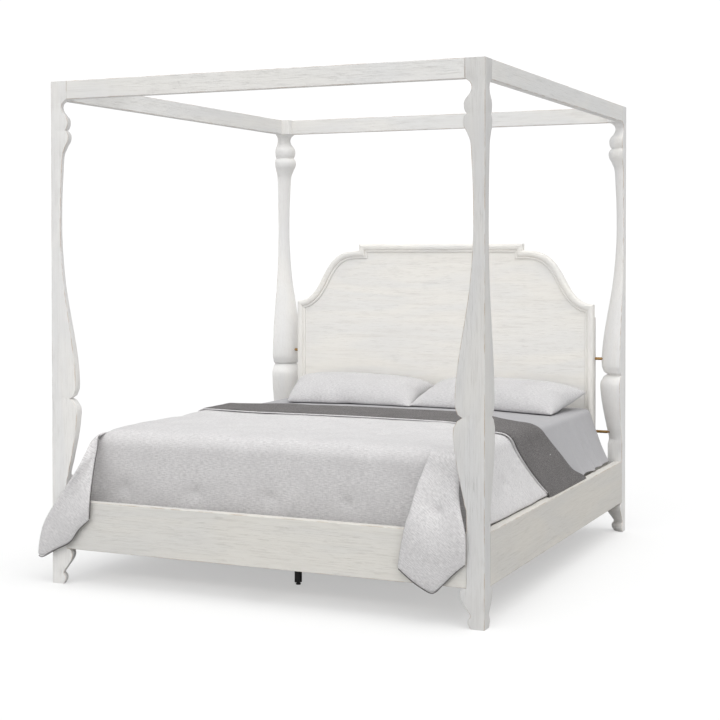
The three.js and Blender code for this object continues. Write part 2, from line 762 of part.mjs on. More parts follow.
// A pillow: crowned in the middle and pinched thin along its edges.
function pillow({ halfW, halfL, halfT, seam }) {
  const stations = 12;
  const around = 16;
  const rings = [];
  for (let i = 0; i <= stations; i += 1) {
    const along = -Math.PI / 2 + (Math.PI * i) / stations;
    const round = Math.max(Math.cos(along), 0);
    const length = halfL * Math.max(round ** 0.28, 0.75);
    const thickness = Math.max(halfT * round ** 0.6, seam);
    const ring = [];
    for (let j = 0; j < around; j += 1) {
      const angle = (2 * Math.PI * j) / around;
      const swing = Math.cos(angle);
      const y = length * Math.sign(swing) * Math.sqrt(Math.abs(swing));
      ring.push(new THREE.Vector3(halfW * Math.sin(along), y, thickness * Math.sin(angle)));
    }
    rings.push(ring);
  }
  return loft(rings);
}
for (const sx of [-1, 1]) {
  const sham = pillow(SHAM);
  sham.rotateX(THREE.MathUtils.degToRad(SHAM.tilt));
  addPiece(`sham_${sideKey(sx)}`, sham.translate(sx * SHAM.x, SHAM.y, SHAM.z), heather);
}

export default bed;
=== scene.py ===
# %% [markdown]
# # A four poster canopy bed
# This lesson dresses a measured bed frame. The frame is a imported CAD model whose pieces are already
# in their right places, so every step here starts from one of its pieces: it either keeps the
# piece and gives it a finish, or builds a finer piece that stands in the same place.
# Everything is in metres, +Y points to the head end and +Z is up.

import math

import bmesh
import bpy
import numpy as np
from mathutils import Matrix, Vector, noise
from mathutils.bvhtree import BVHTree


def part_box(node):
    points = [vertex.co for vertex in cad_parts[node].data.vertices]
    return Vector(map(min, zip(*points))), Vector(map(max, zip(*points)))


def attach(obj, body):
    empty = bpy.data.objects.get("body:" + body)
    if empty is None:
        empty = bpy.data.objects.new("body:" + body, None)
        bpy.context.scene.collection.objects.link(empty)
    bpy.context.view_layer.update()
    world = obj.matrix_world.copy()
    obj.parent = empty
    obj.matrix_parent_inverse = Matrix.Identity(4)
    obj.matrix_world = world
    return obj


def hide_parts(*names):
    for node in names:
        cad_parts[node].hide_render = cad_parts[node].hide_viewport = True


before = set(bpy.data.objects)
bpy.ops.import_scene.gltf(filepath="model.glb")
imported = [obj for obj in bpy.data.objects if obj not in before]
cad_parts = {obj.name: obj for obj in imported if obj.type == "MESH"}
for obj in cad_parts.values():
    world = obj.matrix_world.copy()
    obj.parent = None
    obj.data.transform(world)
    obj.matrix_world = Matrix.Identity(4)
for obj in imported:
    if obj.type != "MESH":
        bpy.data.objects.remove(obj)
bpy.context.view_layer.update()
MM = 0.001

# %% [markdown]
# ## The camera
# The bed is seen from its foot end, turned about 25 degrees towards its right side, from eye
# height and through a long lens, so the posts stay nearly parallel. A camera is set by where it
# stands, which way it looks and its lens. It could be tilted until the bed is where it should be,
# but then the posts would lean. A small lens shift slides the picture instead.

# %% Camera
CAMERA_PLACE = (3.076, -7.2152, 1.5902)
CAMERA_AZIMUTH = math.radians(25.292)
CAMERA_PITCH = math.radians(1.212)
CAMERA_ROLL = math.radians(0.062)
SENSOR_MM = 36
LENS_MM = 75.4
LENS_SHIFT = (0.0764, -0.1092)
FAR_ENOUGH = 200

lens = bpy.data.cameras.new("camera")
lens.sensor_width = SENSOR_MM
lens.lens = LENS_MM
lens.shift_x, lens.shift_y = LENS_SHIFT
lens.clip_end = FAR_ENOUGH
camera = bpy.data.objects.new("camera", lens)
bpy.context.scene.collection.objects.link(camera)
camera.location = CAMERA_PLACE
camera.rotation_euler = (math.pi / 2 - CAMERA_PITCH, CAMERA_ROLL, CAMERA_AZIMUTH)
bpy.context.scene.camera = camera
print("camera at", tuple(camera.location), "lens", lens.lens)

# %% [markdown]
# ## The studio
# A catalogue bed stands on a seamless white floor under very soft light. Shade on a pale object
# is easiest to steer with a few broad lights: a sun from above and the right gives the tops their
# brightness, a weaker one from the foot end opens the front faces, a soft box under the canopy
# reaches the headboard, and an even sky fills the rest. A picture of a real studio could light the
# bed too, but each of its parts couldn't be turned up or down alone. The shadow under the bed is
# the sky being hidden from the floor, so it needs no light of its own. The camera sees plain
# white behind the bed, whatever the sky's own strength is.

# %% Sky
SKY_TINT = (0.97, 0.985, 1, 1)
SKY_STRENGTH = 0.62
WHITE = (1, 1, 1, 1)
BACKDROP_STRENGTH = 1.05

scene = bpy.context.scene
scene.view_settings.view_transform = "Standard"
world = bpy.data.worlds.new("studio")
scene.world = world
world.use_nodes = True
sky_tree = world.node_tree
sky = sky_tree.nodes["Background"]
sky.inputs["Color"].default_value = SKY_TINT
sky.inputs["Strength"].default_value = SKY_STRENGTH
backdrop = sky_tree.nodes.new("ShaderNodeBackground")
backdrop.inputs["Color"].default_value = WHITE
backdrop.inputs["Strength"].default_value = BACKDROP_STRENGTH
seen = sky_tree.nodes.new("ShaderNodeLightPath")
choose = sky_tree.nodes.new("ShaderNodeMixShader")
sky_tree.links.new(seen.outputs["Is Camera Ray"], choose.inputs[0])
sky_tree.links.new(sky.outputs[0], choose.inputs[1])
sky_tree.links.new(backdrop.outputs[0], choose.inputs[2])
sky_tree.links.new(choose.outputs[0], sky_tree.nodes["World Output"].inputs[0])
print("sky nodes:", len(sky_tree.nodes))


# %% Two soft suns
def add_sun(name, strength, spread, elevation, azimuth, color):
    """A sun at an elevation, shining from an azimuth measured from +X towards +Y."""
    light = bpy.data.lights.new(name, "SUN")
    light.energy = strength
    light.angle = math.radians(spread)
    light.color = color
    holder = bpy.data.objects.new(name, light)
    scene.collection.objects.link(holder)
    e, a = math.radians(elevation), math.radians(azimuth)
    towards = Vector((math.cos(e) * math.cos(a), math.cos(e) * math.sin(a), math.sin(e)))
    holder.rotation_euler = towards.to_track_quat("Z", "Y").to_euler()


add_sun("soft_key", 1.7, spread=60, elevation=66, azimuth=-35, color=(1, 0.99, 0.97))
add_sun("front_fill", 0.80, spread=70, elevation=14, azimuth=-96, color=(1, 0.995, 0.985))

# %% A soft box under the canopy, which opens up the headboard and the pillows
BOX_SIZE = (1.7, 0.8)
BOX_WATTS = 3
BOX_PLACE = (0, -0.8, 2.15)
BOX_AIM = (0, 1.12, 1.15)

soft_box = bpy.data.lights.new("headboard_fill", "AREA")
soft_box.shape = "RECTANGLE"
soft_box.size, soft_box.size_y = BOX_SIZE
soft_box.energy = BOX_WATTS
fill_light = bpy.data.objects.new("headboard_fill", soft_box)
scene.collection.objects.link(fill_light)
fill_light.location = BOX_PLACE
aim = Vector(BOX_AIM) - fill_light.location
fill_light.rotation_euler = aim.to_track_quat("-Z", "Y").to_euler()
fill_light.visible_camera = False
print("soft box at", tuple(fill_light.location))

# %% Floor
FLOOR_HALF = 40
floor_mesh = bpy.data.meshes.new("floor")
floor_mesh.from_pydata(
    [(x * FLOOR_HALF, y * FLOOR_HALF, 0) for x, y in ((-1, -1), (1, -1), (1, 1), (-1, 1))],
    [],
    [(0, 1, 2, 3)],
)
floor = bpy.data.objects.new("floor", floor_mesh)
scene.collection.objects.link(floor)
print("floor:", 2 * FLOOR_HALF, "m across")

# %% [markdown]
# ## Helpers for node trees
# Procedural materials are small programs drawn as nodes. Two helpers keep them readable: one adds
# a node and plugs its inputs in a single call, and the other starts a node group with named
# sockets. A group holds an effect that several finishes share, and each finish sets its own
# numbers on it.


# %% Node helpers
def plug(tree, socket, value):
    """Links an output to an input, or sets a plain value on it."""
    if isinstance(value, bpy.types.NodeSocket):
        tree.links.new(value, socket)
    else:
        socket.default_value = value


def add_node(tree, kind, inputs=None, **settings):
    node = tree.nodes.new(kind)
    for key, value in settings.items():
        setattr(node, key, value)
    for key, value in (inputs or {}).items():
        plug(tree, node.inputs[key], value)
    return node


def math_node(tree, operation, a, b=0.0):
    return add_node(tree, "ShaderNodeMath", {0: a, 1: b}, operation=operation).outputs[0]


def mix_color(tree, share, a, b):
    """a where share is 0, and b where it is 1."""
    node = add_node(tree, "ShaderNodeMix", data_type="RGBA")
    for socket, value in ((node.inputs[0], share), (node.inputs[6], a), (node.inputs[7], b)):
        plug(tree, socket, value)
    return node.outputs[2]


def ramp(tree, value, low, high):
    """0 below low, 1 above high, smooth between."""
    node = add_node(
        tree,
        "ShaderNodeMapRange",
        {"Value": value, "From Min": low, "From Max": high},
        interpolation_type="SMOOTHSTEP",
    )
    return node.outputs[0]


def stretched_noise(tree, vector, scale, detail=3.0, roughness=0.55, distortion=0.0):
    """Noise with its own scale along each axis, in cells per metre."""
    place = add_node(tree, "ShaderNodeMapping", {"Vector": vector, "Scale": scale})
    cloud = add_node(
        tree,
        "ShaderNodeTexNoise",
        {
            "Vector": place.outputs[0],
            "Scale": 1.0,
            "Detail": detail,
            "Roughness": roughness,
            "Distortion": distortion,
        },
    )
    return cloud.outputs["Fac"]


print("node helpers ready")

# %% Groups, materials and relief
KINDS = {"color": "NodeSocketColor", "value": "NodeSocketFloat", "vector": "NodeSocketVector"}


def start_group(name, inputs, outputs):
    """An empty group. inputs is [(name, kind, default)] and outputs is [(name, kind)]."""
    tree = bpy.data.node_groups.new(name, "ShaderNodeTree")
    for label, kind, default in inputs:
        socket = tree.interface.new_socket(label, in_out="INPUT", socket_type=KINDS[kind])
        if default is not None:
            socket.default_value = default
    for label, kind in outputs:
        tree.interface.new_socket(label, in_out="OUTPUT", socket_type=KINDS[kind])
    return tree, tree.nodes.new("NodeGroupInput"), tree.nodes.new("NodeGroupOutput")


def start_material(name):
    made = bpy.data.materials.new(name)
    made.use_nodes = True
    tree = made.node_tree
    return made, tree, tree.nodes["Principled BSDF"]


def use_group(tree, group, inputs):
    """Places a group in a material and gives its outputs."""
    return add_node(tree, "ShaderNodeGroup", inputs, node_tree=group).outputs


def bump(tree, shader, height, depth):
    """Feeds a height in 0..1 to the shader's normal, depth metres tall."""
    node = add_node(tree, "ShaderNodeBump", {"Height": height, "Strength": 1.0, "Distance": depth})
    tree.links.new(node.outputs[0], shader.inputs["Normal"])


print("group and material helpers ready")

# %% [markdown]
# ## Finish: whitewashed, wire-brushed oak
# The maker brushes soft wood out of the oak with a steel brush, paints it off-white, wipes it and
# rubs the arrises, so the grain stays as fine grey lines, the paint is a little uneven, and a
# thread of warm wood shows along the edges. One group makes the brushed grain from noise drawn
# out along the board: long pale streaks, short dark pores, and a height for both. A scan of a
# board would show the same knots on every piece, while noise goes on for as long as a board does.
# A second group makes the rubbed arris out of a mask that the modelling step leaves on the eased
# edges, so the wear is only where a hand with abrasive paper would reach. The same mask lies in the
# quirks of the headboard moulding, where its darker colour is painted shade.

# %% Group: brushed grain
grain_group, g_in, g_out = start_group(
    "brushed_grain",
    [
        ("Along", "vector", (0, 0, 0)),
        ("Streak Length", "value", 0.25),
        ("Streak Width", "value", 0.012),
    ],
    [("Streaks", "value"), ("Pores", "value"), ("Cloud", "value"), ("Height", "value")],
)
t = grain_group
streak_x = math_node(t, "DIVIDE", 1.0, g_in.outputs["Streak Length"])
streak_y = math_node(t, "DIVIDE", 1.0, g_in.outputs["Streak Width"])
streak_scale = add_node(t, "ShaderNodeCombineXYZ", {"X": streak_x, "Y": streak_y, "Z": streak_y})
streaks = stretched_noise(t, g_in.outputs["Along"], streak_scale.outputs[0], 4.0, 0.6, 0.35)
fine = stretched_noise(t, g_in.outputs["Along"], (9, 520, 520), 2.0, 0.7, 0.1)
pores = ramp(t, fine, 0.56, 0.72)
cloud = stretched_noise(t, g_in.outputs["Along"], (1.6, 7, 7), 2.0, 0.5, 0.6)
height = math_node(t, "SUBTRACT", math_node(t, "MULTIPLY", streaks, 0.5), pores)
for label, value in (("Streaks", streaks), ("Pores", pores), ("Cloud", cloud), ("Height", height)):
    t.links.new(value, g_out.inputs[label])
print("group", t.name, "with", len(t.nodes), "nodes")

# %% Group: rubbed arris, also used as painted shade in the moulding's quirks
arris_wear_and_quirk_shade_group, a_in, a_out = start_group(
    "rubbed_arris_and_quirk_shade",
    [("Arris", "value", 0.0), ("Place", "vector", (0, 0, 0)), ("Amount", "value", 0.5)],
    [("Mask", "value")],
)
t = arris_wear_and_quirk_shade_group
patches = stretched_noise(t, a_in.outputs["Place"], (14, 14, 14), 3.0, 0.6)
broken = ramp(t, patches, 0.36, 0.66)
rubbed = math_node(t, "MULTIPLY", a_in.outputs["Arris"], broken)
t.links.new(math_node(t, "MULTIPLY", rubbed, a_in.outputs["Amount"]), a_out.inputs["Mask"])
print("group", t.name, "with", len(t.nodes), "nodes")


# %% Grain along a board
SWIZZLES = {"x": ("X", "Y", "Z"), "y": ("Y", "X", "Z"), "z": ("Z", "X", "Y")}


def along_axis(tree, axis):
    """The place on the piece, turned so that its first number runs along the grain."""
    place = add_node(tree, "ShaderNodeTexCoord").outputs["Object"]
    parts = add_node(tree, "ShaderNodeSeparateXYZ", {0: place}).outputs
    first, second, third = (parts[letter] for letter in SWIZZLES[axis])
    return add_node(tree, "ShaderNodeCombineXYZ", {"X": first, "Y": second, "Z": third}).outputs[0]


print("grain can run along", sorted(SWIZZLES))

# %% Whitewash colours
PAINT_WARM = (0.84, 0.825, 0.795, 1)
PAINT_COOL = (0.80, 0.795, 0.785, 1)
PAINT_STREAK = (0.69, 0.67, 0.645, 1)
WOOD_PORE = (0.46, 0.41, 0.36, 1)
# Warm wood on the rubbed arrises, and painted shade in the moulding's quirks.
WORN_WOOD_AND_QUIRK_SHADE = (0.45, 0.32, 0.22, 1)
# Painted light and shade: these tints lighten the wash on the panel, its mouldings and the posts,
# and darken it on the low rails and the near post, for how light falls on them.
RAIL_PAINTED_SHADE = (0.895, 0.885, 0.86)
SIDE_RAIL_PAINTED_SHADE = (0.86, 0.84, 0.805)
POST_PAINTED_LIGHT = (1.04, 1.04, 1.045)
NEAR_POST_PAINTED_SHADE = (0.86, 0.86, 0.865)
PANEL_PAINTED_LIGHT = (1.07, 1.06, 1.04)
print("whitest board:", PANEL_PAINTED_LIGHT, "dullest:", SIDE_RAIL_PAINTED_SHADE)

# %% Whitewashed oak
STREAKS_SHOW = 0.45
PORES_SHOW = 0.14
OAK_ROUGHNESS = (0.42, 0.25)  # the least, and how much the streaks add to it
OAK_RELIEF = 0.0006


def whitewashed_oak(name, axis, tint=(1, 1, 1), rub=0.6, streak=(0.30, 0.004)):
    """tint scales the whole wash in red, green and blue, which paints light and shade on the board.
    streak is (length, width).
    """
    warm, cool, faint = (
        (*(c * t for c, t in zip(wash, tint)), 1) for wash in (PAINT_WARM, PAINT_COOL, PAINT_STREAK)
    )
    made, tree, shader = start_material(name)
    place = along_axis(tree, axis)
    grain = use_group(
        tree,
        grain_group,
        {"Along": place, "Streak Length": streak[0], "Streak Width": streak[1]},
    )
    paint = mix_color(tree, ramp(tree, grain["Cloud"], 0.32, 0.66), warm, cool)
    streaked = math_node(tree, "MULTIPLY", ramp(tree, grain["Streaks"], 0.42, 0.8), STREAKS_SHOW)
    paint = mix_color(tree, streaked, paint, faint)
    pores = math_node(tree, "MULTIPLY", grain["Pores"], PORES_SHOW)
    paint = mix_color(tree, pores, paint, WOOD_PORE)
    arris = add_node(tree, "ShaderNodeAttribute", attribute_name="arris").outputs["Fac"]
    wear_and_quirk_shade_mask = use_group(tree, arris_wear_and_quirk_shade_group, {"Arris": arris, "Place": place, "Amount": rub})["Mask"]
    plug(tree, shader.inputs["Base Color"], mix_color(tree, wear_and_quirk_shade_mask, paint, WORN_WOOD_AND_QUIRK_SHADE))
    least, more = OAK_ROUGHNESS
    dull = math_node(tree, "ADD", math_node(tree, "MULTIPLY", grain["Streaks"], more), least)
    plug(tree, shader.inputs["Roughness"], dull)
    shader.inputs["Specular IOR Level"].default_value = 0.35
    bump(tree, shader, grain["Height"], OAK_RELIEF)
    return made


print("oak recipe ready")

# %% One oak for each grain direction, and copies with painted light and shade for some boards
oak = {axis: whitewashed_oak("whitewashed_oak_" + axis, axis) for axis in "xyz"}
# Painted light on the panel, its mouldings and the posts, painted shade on the low rails and the near
# post.
oak_panel_painted_light = whitewashed_oak("whitewashed_oak_panel", "x", PANEL_PAINTED_LIGHT, streak=(0.45, 0.022), rub=0.3)
oak_low_rail_painted_shade = {
    axis: whitewashed_oak("whitewashed_oak_low_rail_" + axis, axis, tint)
    for axis, tint in (("x", RAIL_PAINTED_SHADE), ("y", SIDE_RAIL_PAINTED_SHADE))
}
oak_moulding_painted_light = whitewashed_oak("whitewashed_oak_moulding", "x", PANEL_PAINTED_LIGHT)
oak_side_moulding_painted_light = whitewashed_oak("whitewashed_oak_side_moulding", "z", PANEL_PAINTED_LIGHT)
oak_post_painted_light = whitewashed_oak("whitewashed_oak_post", "z", POST_PAINTED_LIGHT)
oak_near_post_painted_shade = whitewashed_oak("whitewashed_oak_near_post", "z", NEAR_POST_PAINTED_SHADE, rub=0.8)
print("oak finishes:", [m.name for m in bpy.data.materials])

# %% [markdown]
# ## Finish: bare softwood
# Slats, cleats and the centre rail never show on a made bed, so the maker leaves them as planed
# pine. Pine has broad yellow-brown growth bands. They could be rings cut out of a log by a wave
# texture, but at this size the same grain group with wide, long streaks and stronger colours says
# as much.

# %% Bare softwood
PINE_PALE = (0.72, 0.58, 0.40, 1)
PINE_DARK = (0.50, 0.34, 0.18, 1)
PINE_STREAK = (0.7, 0.016)
PINE_PORES_SHOW = 0.35
PINE_RELIEF = 0.0004


def bare_softwood(name, axis):
    made, tree, shader = start_material(name)
    place = along_axis(tree, axis)
    length, width = PINE_STREAK
    grain = use_group(
        tree, grain_group, {"Along": place, "Streak Length": length, "Streak Width": width}
    )
    banded = mix_color(tree, ramp(tree, grain["Streaks"], 0.42, 0.7), PINE_PALE, PINE_DARK)
    darker = math_node(tree, "MULTIPLY", grain["Pores"], PINE_PORES_SHOW)
    plug(tree, shader.inputs["Base Color"], mix_color(tree, darker, banded, WOOD_PORE))
    rough = math_node(tree, "ADD", math_node(tree, "MULTIPLY", grain["Cloud"], 0.2), 0.6)
    plug(tree, shader.inputs["Roughness"], rough)
    bump(tree, shader, grain["Height"], PINE_RELIEF)
    return made


softwood = {axis: bare_softwood("bare_softwood_" + axis, axis) for axis in "xy"}
print("softwood finishes:", [m.name for m in softwood.values()])

# %% [markdown]
# ## Finish: metals
# The centre legs are powder coated black, the hidden brackets and screws are zinc plated, and the
# headboard bolts are aged bronze. A plain metallic shader would look like chrome in a room with
# nothing to reflect. All three have a fine mottle in their colour and roughness, so one function
# makes them, with a metallic value of 0 for the coat and 1 for the bare metals.


# %% Metals
def mottled_metal(name, pale, dark, rough, metallic, cells=180, depth=0.00015):
    made, tree, shader = start_material(name)
    place = add_node(tree, "ShaderNodeTexCoord").outputs["Object"]
    mottle = stretched_noise(tree, place, (cells, cells, cells), 3.0, 0.6)
    broad = stretched_noise(tree, place, (18, 18, 18), 2.0, 0.5)
    share = math_node(tree, "MULTIPLY", math_node(tree, "ADD", mottle, broad), 0.5)
    plug(tree, shader.inputs["Base Color"], mix_color(tree, share, pale, dark))
    low, high = rough
    spread = add_node(
        tree, "ShaderNodeMapRange", {"Value": broad, "To Min": low, "To Max": high}
    ).outputs[0]
    plug(tree, shader.inputs["Roughness"], spread)
    shader.inputs["Metallic"].default_value = metallic
    bump(tree, shader, mottle, depth)
    return made


black_steel = mottled_metal(
    "black_steel", (0.012, 0.012, 0.013, 1), (0.022, 0.022, 0.024, 1), (0.4, 0.6), 0.0, 900
)
zinc_steel = mottled_metal(
    "zinc_steel", (0.66, 0.67, 0.69, 1), (0.50, 0.51, 0.53, 1), (0.25, 0.5), 1.0, 90
)
bronze_bolt = mottled_metal(
    "bronze_bolt", (0.50, 0.30, 0.11, 1), (0.26, 0.15, 0.06, 1), (0.3, 0.55), 1.0, 140
)
print("metals ready")

# %% [markdown]
# ## Helpers for pieces
# Every new piece is a mesh that takes its finishes, rides on a body of the frame and stands for one
# or more frame nodes, which it hides. One helper does those three things, so no piece can forget
# one. A second helper makes smooth shading that still stops at real corners.


# %% Piece helpers
def link_mesh(name, vertices, faces):
    mesh = bpy.data.meshes.new(name)
    mesh.from_pydata([tuple(v) for v in vertices], [], faces)
    mesh.validate()
    piece = bpy.data.objects.new(name, mesh)
    scene.collection.objects.link(piece)
    return piece


def place(piece, material, slot, replaces=(), body="bed"):
    piece.data.materials.clear()
    for one in material if isinstance(material, (list, tuple)) else [material]:
        piece.data.materials.append(one)
    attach(piece, body)
    if replaces:
        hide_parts(*replaces)
    return piece


def smooth(piece, corner=38):
    piece.data.shade_smooth()
    piece.data.set_sharp_from_angle(angle=math.radians(corner))


def apply_modifiers(piece):
    """Bakes the modifiers into the mesh."""
    bpy.context.view_layer.update()
    evaluated = piece.evaluated_get(bpy.context.evaluated_depsgraph_get())
    baked = bpy.data.meshes.new_from_object(evaluated)
    piece.modifiers.clear()
    piece.data = baked


def set_arris(piece, faces):
    """Marks faces for the rubbed arris finish: the eased edges, where it is wear, and the moulding's
    quirks, where it is painted shade.
    """
    layer = piece.data.attributes.new("arris", "FLOAT", "FACE")
    values = np.zeros(len(piece.data.polygons), np.float32)
    values[list(faces)] = 1
    layer.data.foreach_set("value", values)


print("piece helpers ready")

# %% [markdown]
# ## Boards with eased arrises
# No board leaves a shop with knife edges: each arris gets a few strokes of a block plane, and it
# is that soft edge that catches the light. Boards could be drawn again as boxes, but their
# tenons, holes and mitres are already right in the frame. So each one is copied, its coplanar
# triangles are dissolved back to whole faces, and its long edges are bevelled. The end grain
# stays square where it butts against its neighbour, and tenons stay as they were cut.


# %% Ease the edges of a mesh
REAL_CORNER = math.radians(35)
FLAT_TO = math.radians(1)


def ease_edges(mesh, ease, longer_than, segments=3):
    """Bevels the outward edges of a mesh, and returns the numbers of the new faces."""
    work = bmesh.new()
    work.from_mesh(mesh)
    bmesh.ops.remove_doubles(work, verts=work.verts, dist=1e-5)
    bmesh.ops.dissolve_limit(work, angle_limit=FLAT_TO, verts=work.verts, edges=work.edges)
    sharp = [
        e
        for e in work.edges
        if e.calc_length() > longer_than
        and len(e.link_faces) == 2
        and e.is_convex
        and e.calc_face_angle(0) > REAL_CORNER
    ]
    made = bmesh.ops.bevel(
        work,
        geom=sharp,
        offset=ease,
        segments=segments,
        profile=0.5,
        affect="EDGES",
        clamp_overlap=True,
    )
    work.faces.index_update()
    new_faces = [f.index for f in made["faces"]]
    work.to_mesh(mesh)
    work.free()
    return new_faces


print("edges over", round(math.degrees(REAL_CORNER)), "degrees are eased")


# %% Eased copy of a frame node
def eased_copy(node, ease, longer_than):
    piece = bpy.data.objects.new("eased_" + node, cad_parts[node].data.copy())
    scene.collection.objects.link(piece)
    new_faces = ease_edges(piece.data, ease, longer_than)
    for name in ("arris", "custom_normal"):
        if name in piece.data.attributes:
            piece.data.attributes.remove(piece.data.attributes[name])
    set_arris(piece, new_faces)
    smooth(piece, 50)
    weigh = piece.modifiers.new("even faces", "WEIGHTED_NORMAL")
    weigh.weight = 100
    weigh.keep_sharp = True
    apply_modifiers(piece)
    return piece


print("copies are made one board at a time")

# %% All the boards
BOARDS = [
    # nodes, ease, only edges longer than, finish, slot
    (("canopy_rail_foot", "canopy_rail_head"), 2.5, 1.0, oak["x"], "whitewashed_oak"),
    (("canopy_rail_left", "canopy_rail_right"), 2.5, 1.0, oak["y"], "whitewashed_oak"),
    (("footboard_rail", "head_rail"), 3, 1.0, oak_low_rail_painted_shade["x"], "whitewashed_oak"),
    (("side_rail_left", "side_rail_right"), 3, 1.0, oak_low_rail_painted_shade["y"], "whitewashed_oak"),
    (("headboard_batten_lower", "headboard_batten_upper"), 2, 1.0, oak["x"], "whitewashed_oak"),
    (("headboard_stile_left", "headboard_stile_right"), 2, 0.5, oak["z"], "whitewashed_oak"),
    (tuple(f"slat_{i}" for i in range(1, 7)), 2, 0.0, softwood["x"], "bare_softwood"),
    (("ledger_left", "ledger_right", "centre_rail"), 2, 0.0, softwood["y"], "bare_softwood"),
    (("centre_stirrup_foot", "centre_stirrup_head"), 0.6, 0.01, black_steel, "black_steel"),
    (tuple(f"support_leg_{i}" for i in range(1, 4)), 1.5, 0.02, black_steel, "black_steel"),
    (
        tuple(f"rail_angle_{end}_{side}" for end in ("foot", "head") for side in ("left", "right")),
        0.6,
        0.01,
        zinc_steel,
        "zinc_steel",
    ),
]
for nodes, ease, longer_than, finish, slot in BOARDS:
    for node in nodes:
        piece = eased_copy(node, ease * MM, longer_than)
        place(piece, finish, slot, [node])
print("boards:", sum(len(row[0]) for row in BOARDS))

# %% [markdown]
# ## The posts
# Each post starts as a square blank. A shaped profile is band-sawn on the two faces that look
# into the bed, and the two outer faces stay straight. The inner side is then rounded to a quarter
# circle about the outer corner, so the post reads as flat boards from outside and as a turned vase
# from inside. Cutting two profiles out of a block would follow the saw, but it leaves no way to
# ease the arrises. A loft gives the same shape with them: sections stacked up the post, each as
# wide as the profile at its height. The blocks where rails join stay square.

# %% The profile that is sawn on a post
LOW_BLOCK = 81
TOP_BLOCK = 90
PROFILE = [
    # square or not, then (height, width) points
    (False, [
        (0, 60), (4, 65), (10, 68), (18, 73), (28, 75), (38, 73), (46, 66), (52, 62.5), (62, 65),
        (78, 77), (96, 90), (118, 105), (140, 112), (158, 107), (169, 97),
    ]),
    (True, [(170, LOW_BLOCK), (495, LOW_BLOCK)]),
    (False, [(520, 90), (590, 105), (690, 125), (795, 139), (840, 138), (870, 122)]),
    (False, [(884, 100)]),
    (False, [
        (897, 120), (925, 131), (975, 132), (1075, 124), (1190, 107), (1300, 88), (1410, 71),
        (1520, 60), (1640, 53), (1740, 52), (1855, 54), (1950, 59), (2010, 62), (2045, 67),
        (2083, 83), (2105, 95), (2120, 98), (2136, 97), (2148, 90),
    ]),
    (False, [(2155, 80)]),
    (False, [
        (2164, 88), (2178, 93), (2198, 94), (2216, 88), (2240, 68), (2264, 60), (2284, 66),
        (2298, 82),
    ]),
    (True, [(2301.6, TOP_BLOCK), (2387.6, TOP_BLOCK)]),
]  # fmt: skip
print("a post is", PROFILE[-1][1][-1][0], "mm high, in", len(PROFILE), "stretches")


# %% A smooth run through points
def hermite(p0, p1, p2, p3, t):
    """A share t of the way from p1 to p2, on a smooth curve that also minds their neighbours."""
    return (
        (2 * t**3 - 3 * t**2 + 1) * p1
        + (t**3 - 2 * t**2 + t) * ((p2 - p0) / 2)
        + (3 * t**2 - 2 * t**3) * p2
        + (t**3 - t**2) * ((p3 - p1) / 2)
    )


def windows(points):
    """Each neighbouring pair of points with the ones before and after, the ends repeated."""
    padded = [points[0], *points, points[-1]]
    return zip(padded, padded[1:], padded[2:], padded[3:])


def spline(points, step):
    """A smooth run through (height, width) points, one place for about every step of height."""
    run = []
    if len(points) > 1:
        for (_, w0), (h1, w1), (h2, w2), (_, w3) in windows(points):
            count = max(1, round((h2 - h1) / step))
            for i in range(count):
                run.append((h1 + (h2 - h1) * i / count, hermite(w0, w1, w2, w3, i / count)))
    return [*run, points[-1]]


print("widths of the waist:", [round(w) for _, w in spline(PROFILE[4][1], 200)])

# %% Post sections
OUTER_EASE = 2.2
ARRIS_EASE = 2.8
INNER_EASE = 5


def post_section(width, square):
    """Distances inward from the two outer faces, once around, and which faces are arrises."""
    ring, arris = [], []

    def arc(cx, cy, radius, start, end, steps, marked):
        for i in range(steps + 1):
            angle = math.radians(start + (end - start) * i / steps)
            ring.append((cx + radius * math.cos(angle), cy + radius * math.sin(angle)))
            arris.append(marked and i < steps)

    arc(OUTER_EASE, OUTER_EASE, OUTER_EASE, 180, 270, 3, True)
    if square:
        arc(width - ARRIS_EASE, ARRIS_EASE, ARRIS_EASE, -90, 0, 4, True)
        arc(width - INNER_EASE, width - INNER_EASE, INNER_EASE, 0, 90, 8, False)
        arc(ARRIS_EASE, width - ARRIS_EASE, ARRIS_EASE, 90, 180, 4, True)
    else:
        # The easing circle touches the outer face and the quarter round from inside.
        centre = math.sqrt((width - ARRIS_EASE) ** 2 - ARRIS_EASE**2)
        turn = math.degrees(math.atan2(ARRIS_EASE, centre))
        arc(centre, ARRIS_EASE, ARRIS_EASE, -90, turn, 4, True)
        arc(0, 0, width, turn + 1, 89 - turn, 8, False)
        arc(ARRIS_EASE, centre, ARRIS_EASE, 90 - turn, 180, 4, True)
    return ring, arris


print("points in a section:", len(post_section(LOW_BLOCK, True)[0]))


# %% Loft
def loft(rings):
    """Vertices and faces of a stack of equal rings with closed ends."""
    count = len(rings[0])
    faces = []
    for r in range(len(rings) - 1):
        for i in range(count):
            j = (i + 1) % count
            faces.append((r * count + i, r * count + j, (r + 1) * count + j, (r + 1) * count + i))
    faces.append(tuple(reversed(range(count))))
    faces.append(tuple(range((len(rings) - 1) * count, len(rings) * count)))
    return [p for ring in rings for p in ring], faces


def face_out(piece):
    work = bmesh.new()
    work.from_mesh(piece.data)
    bmesh.ops.recalc_face_normals(work, faces=work.faces)
    work.to_mesh(piece.data)
    work.free()


print("loft helpers ready")

# %% The four posts
SECTION_STEP = 12
BLOCK_STEP = 400  # a square block needs only its two ends


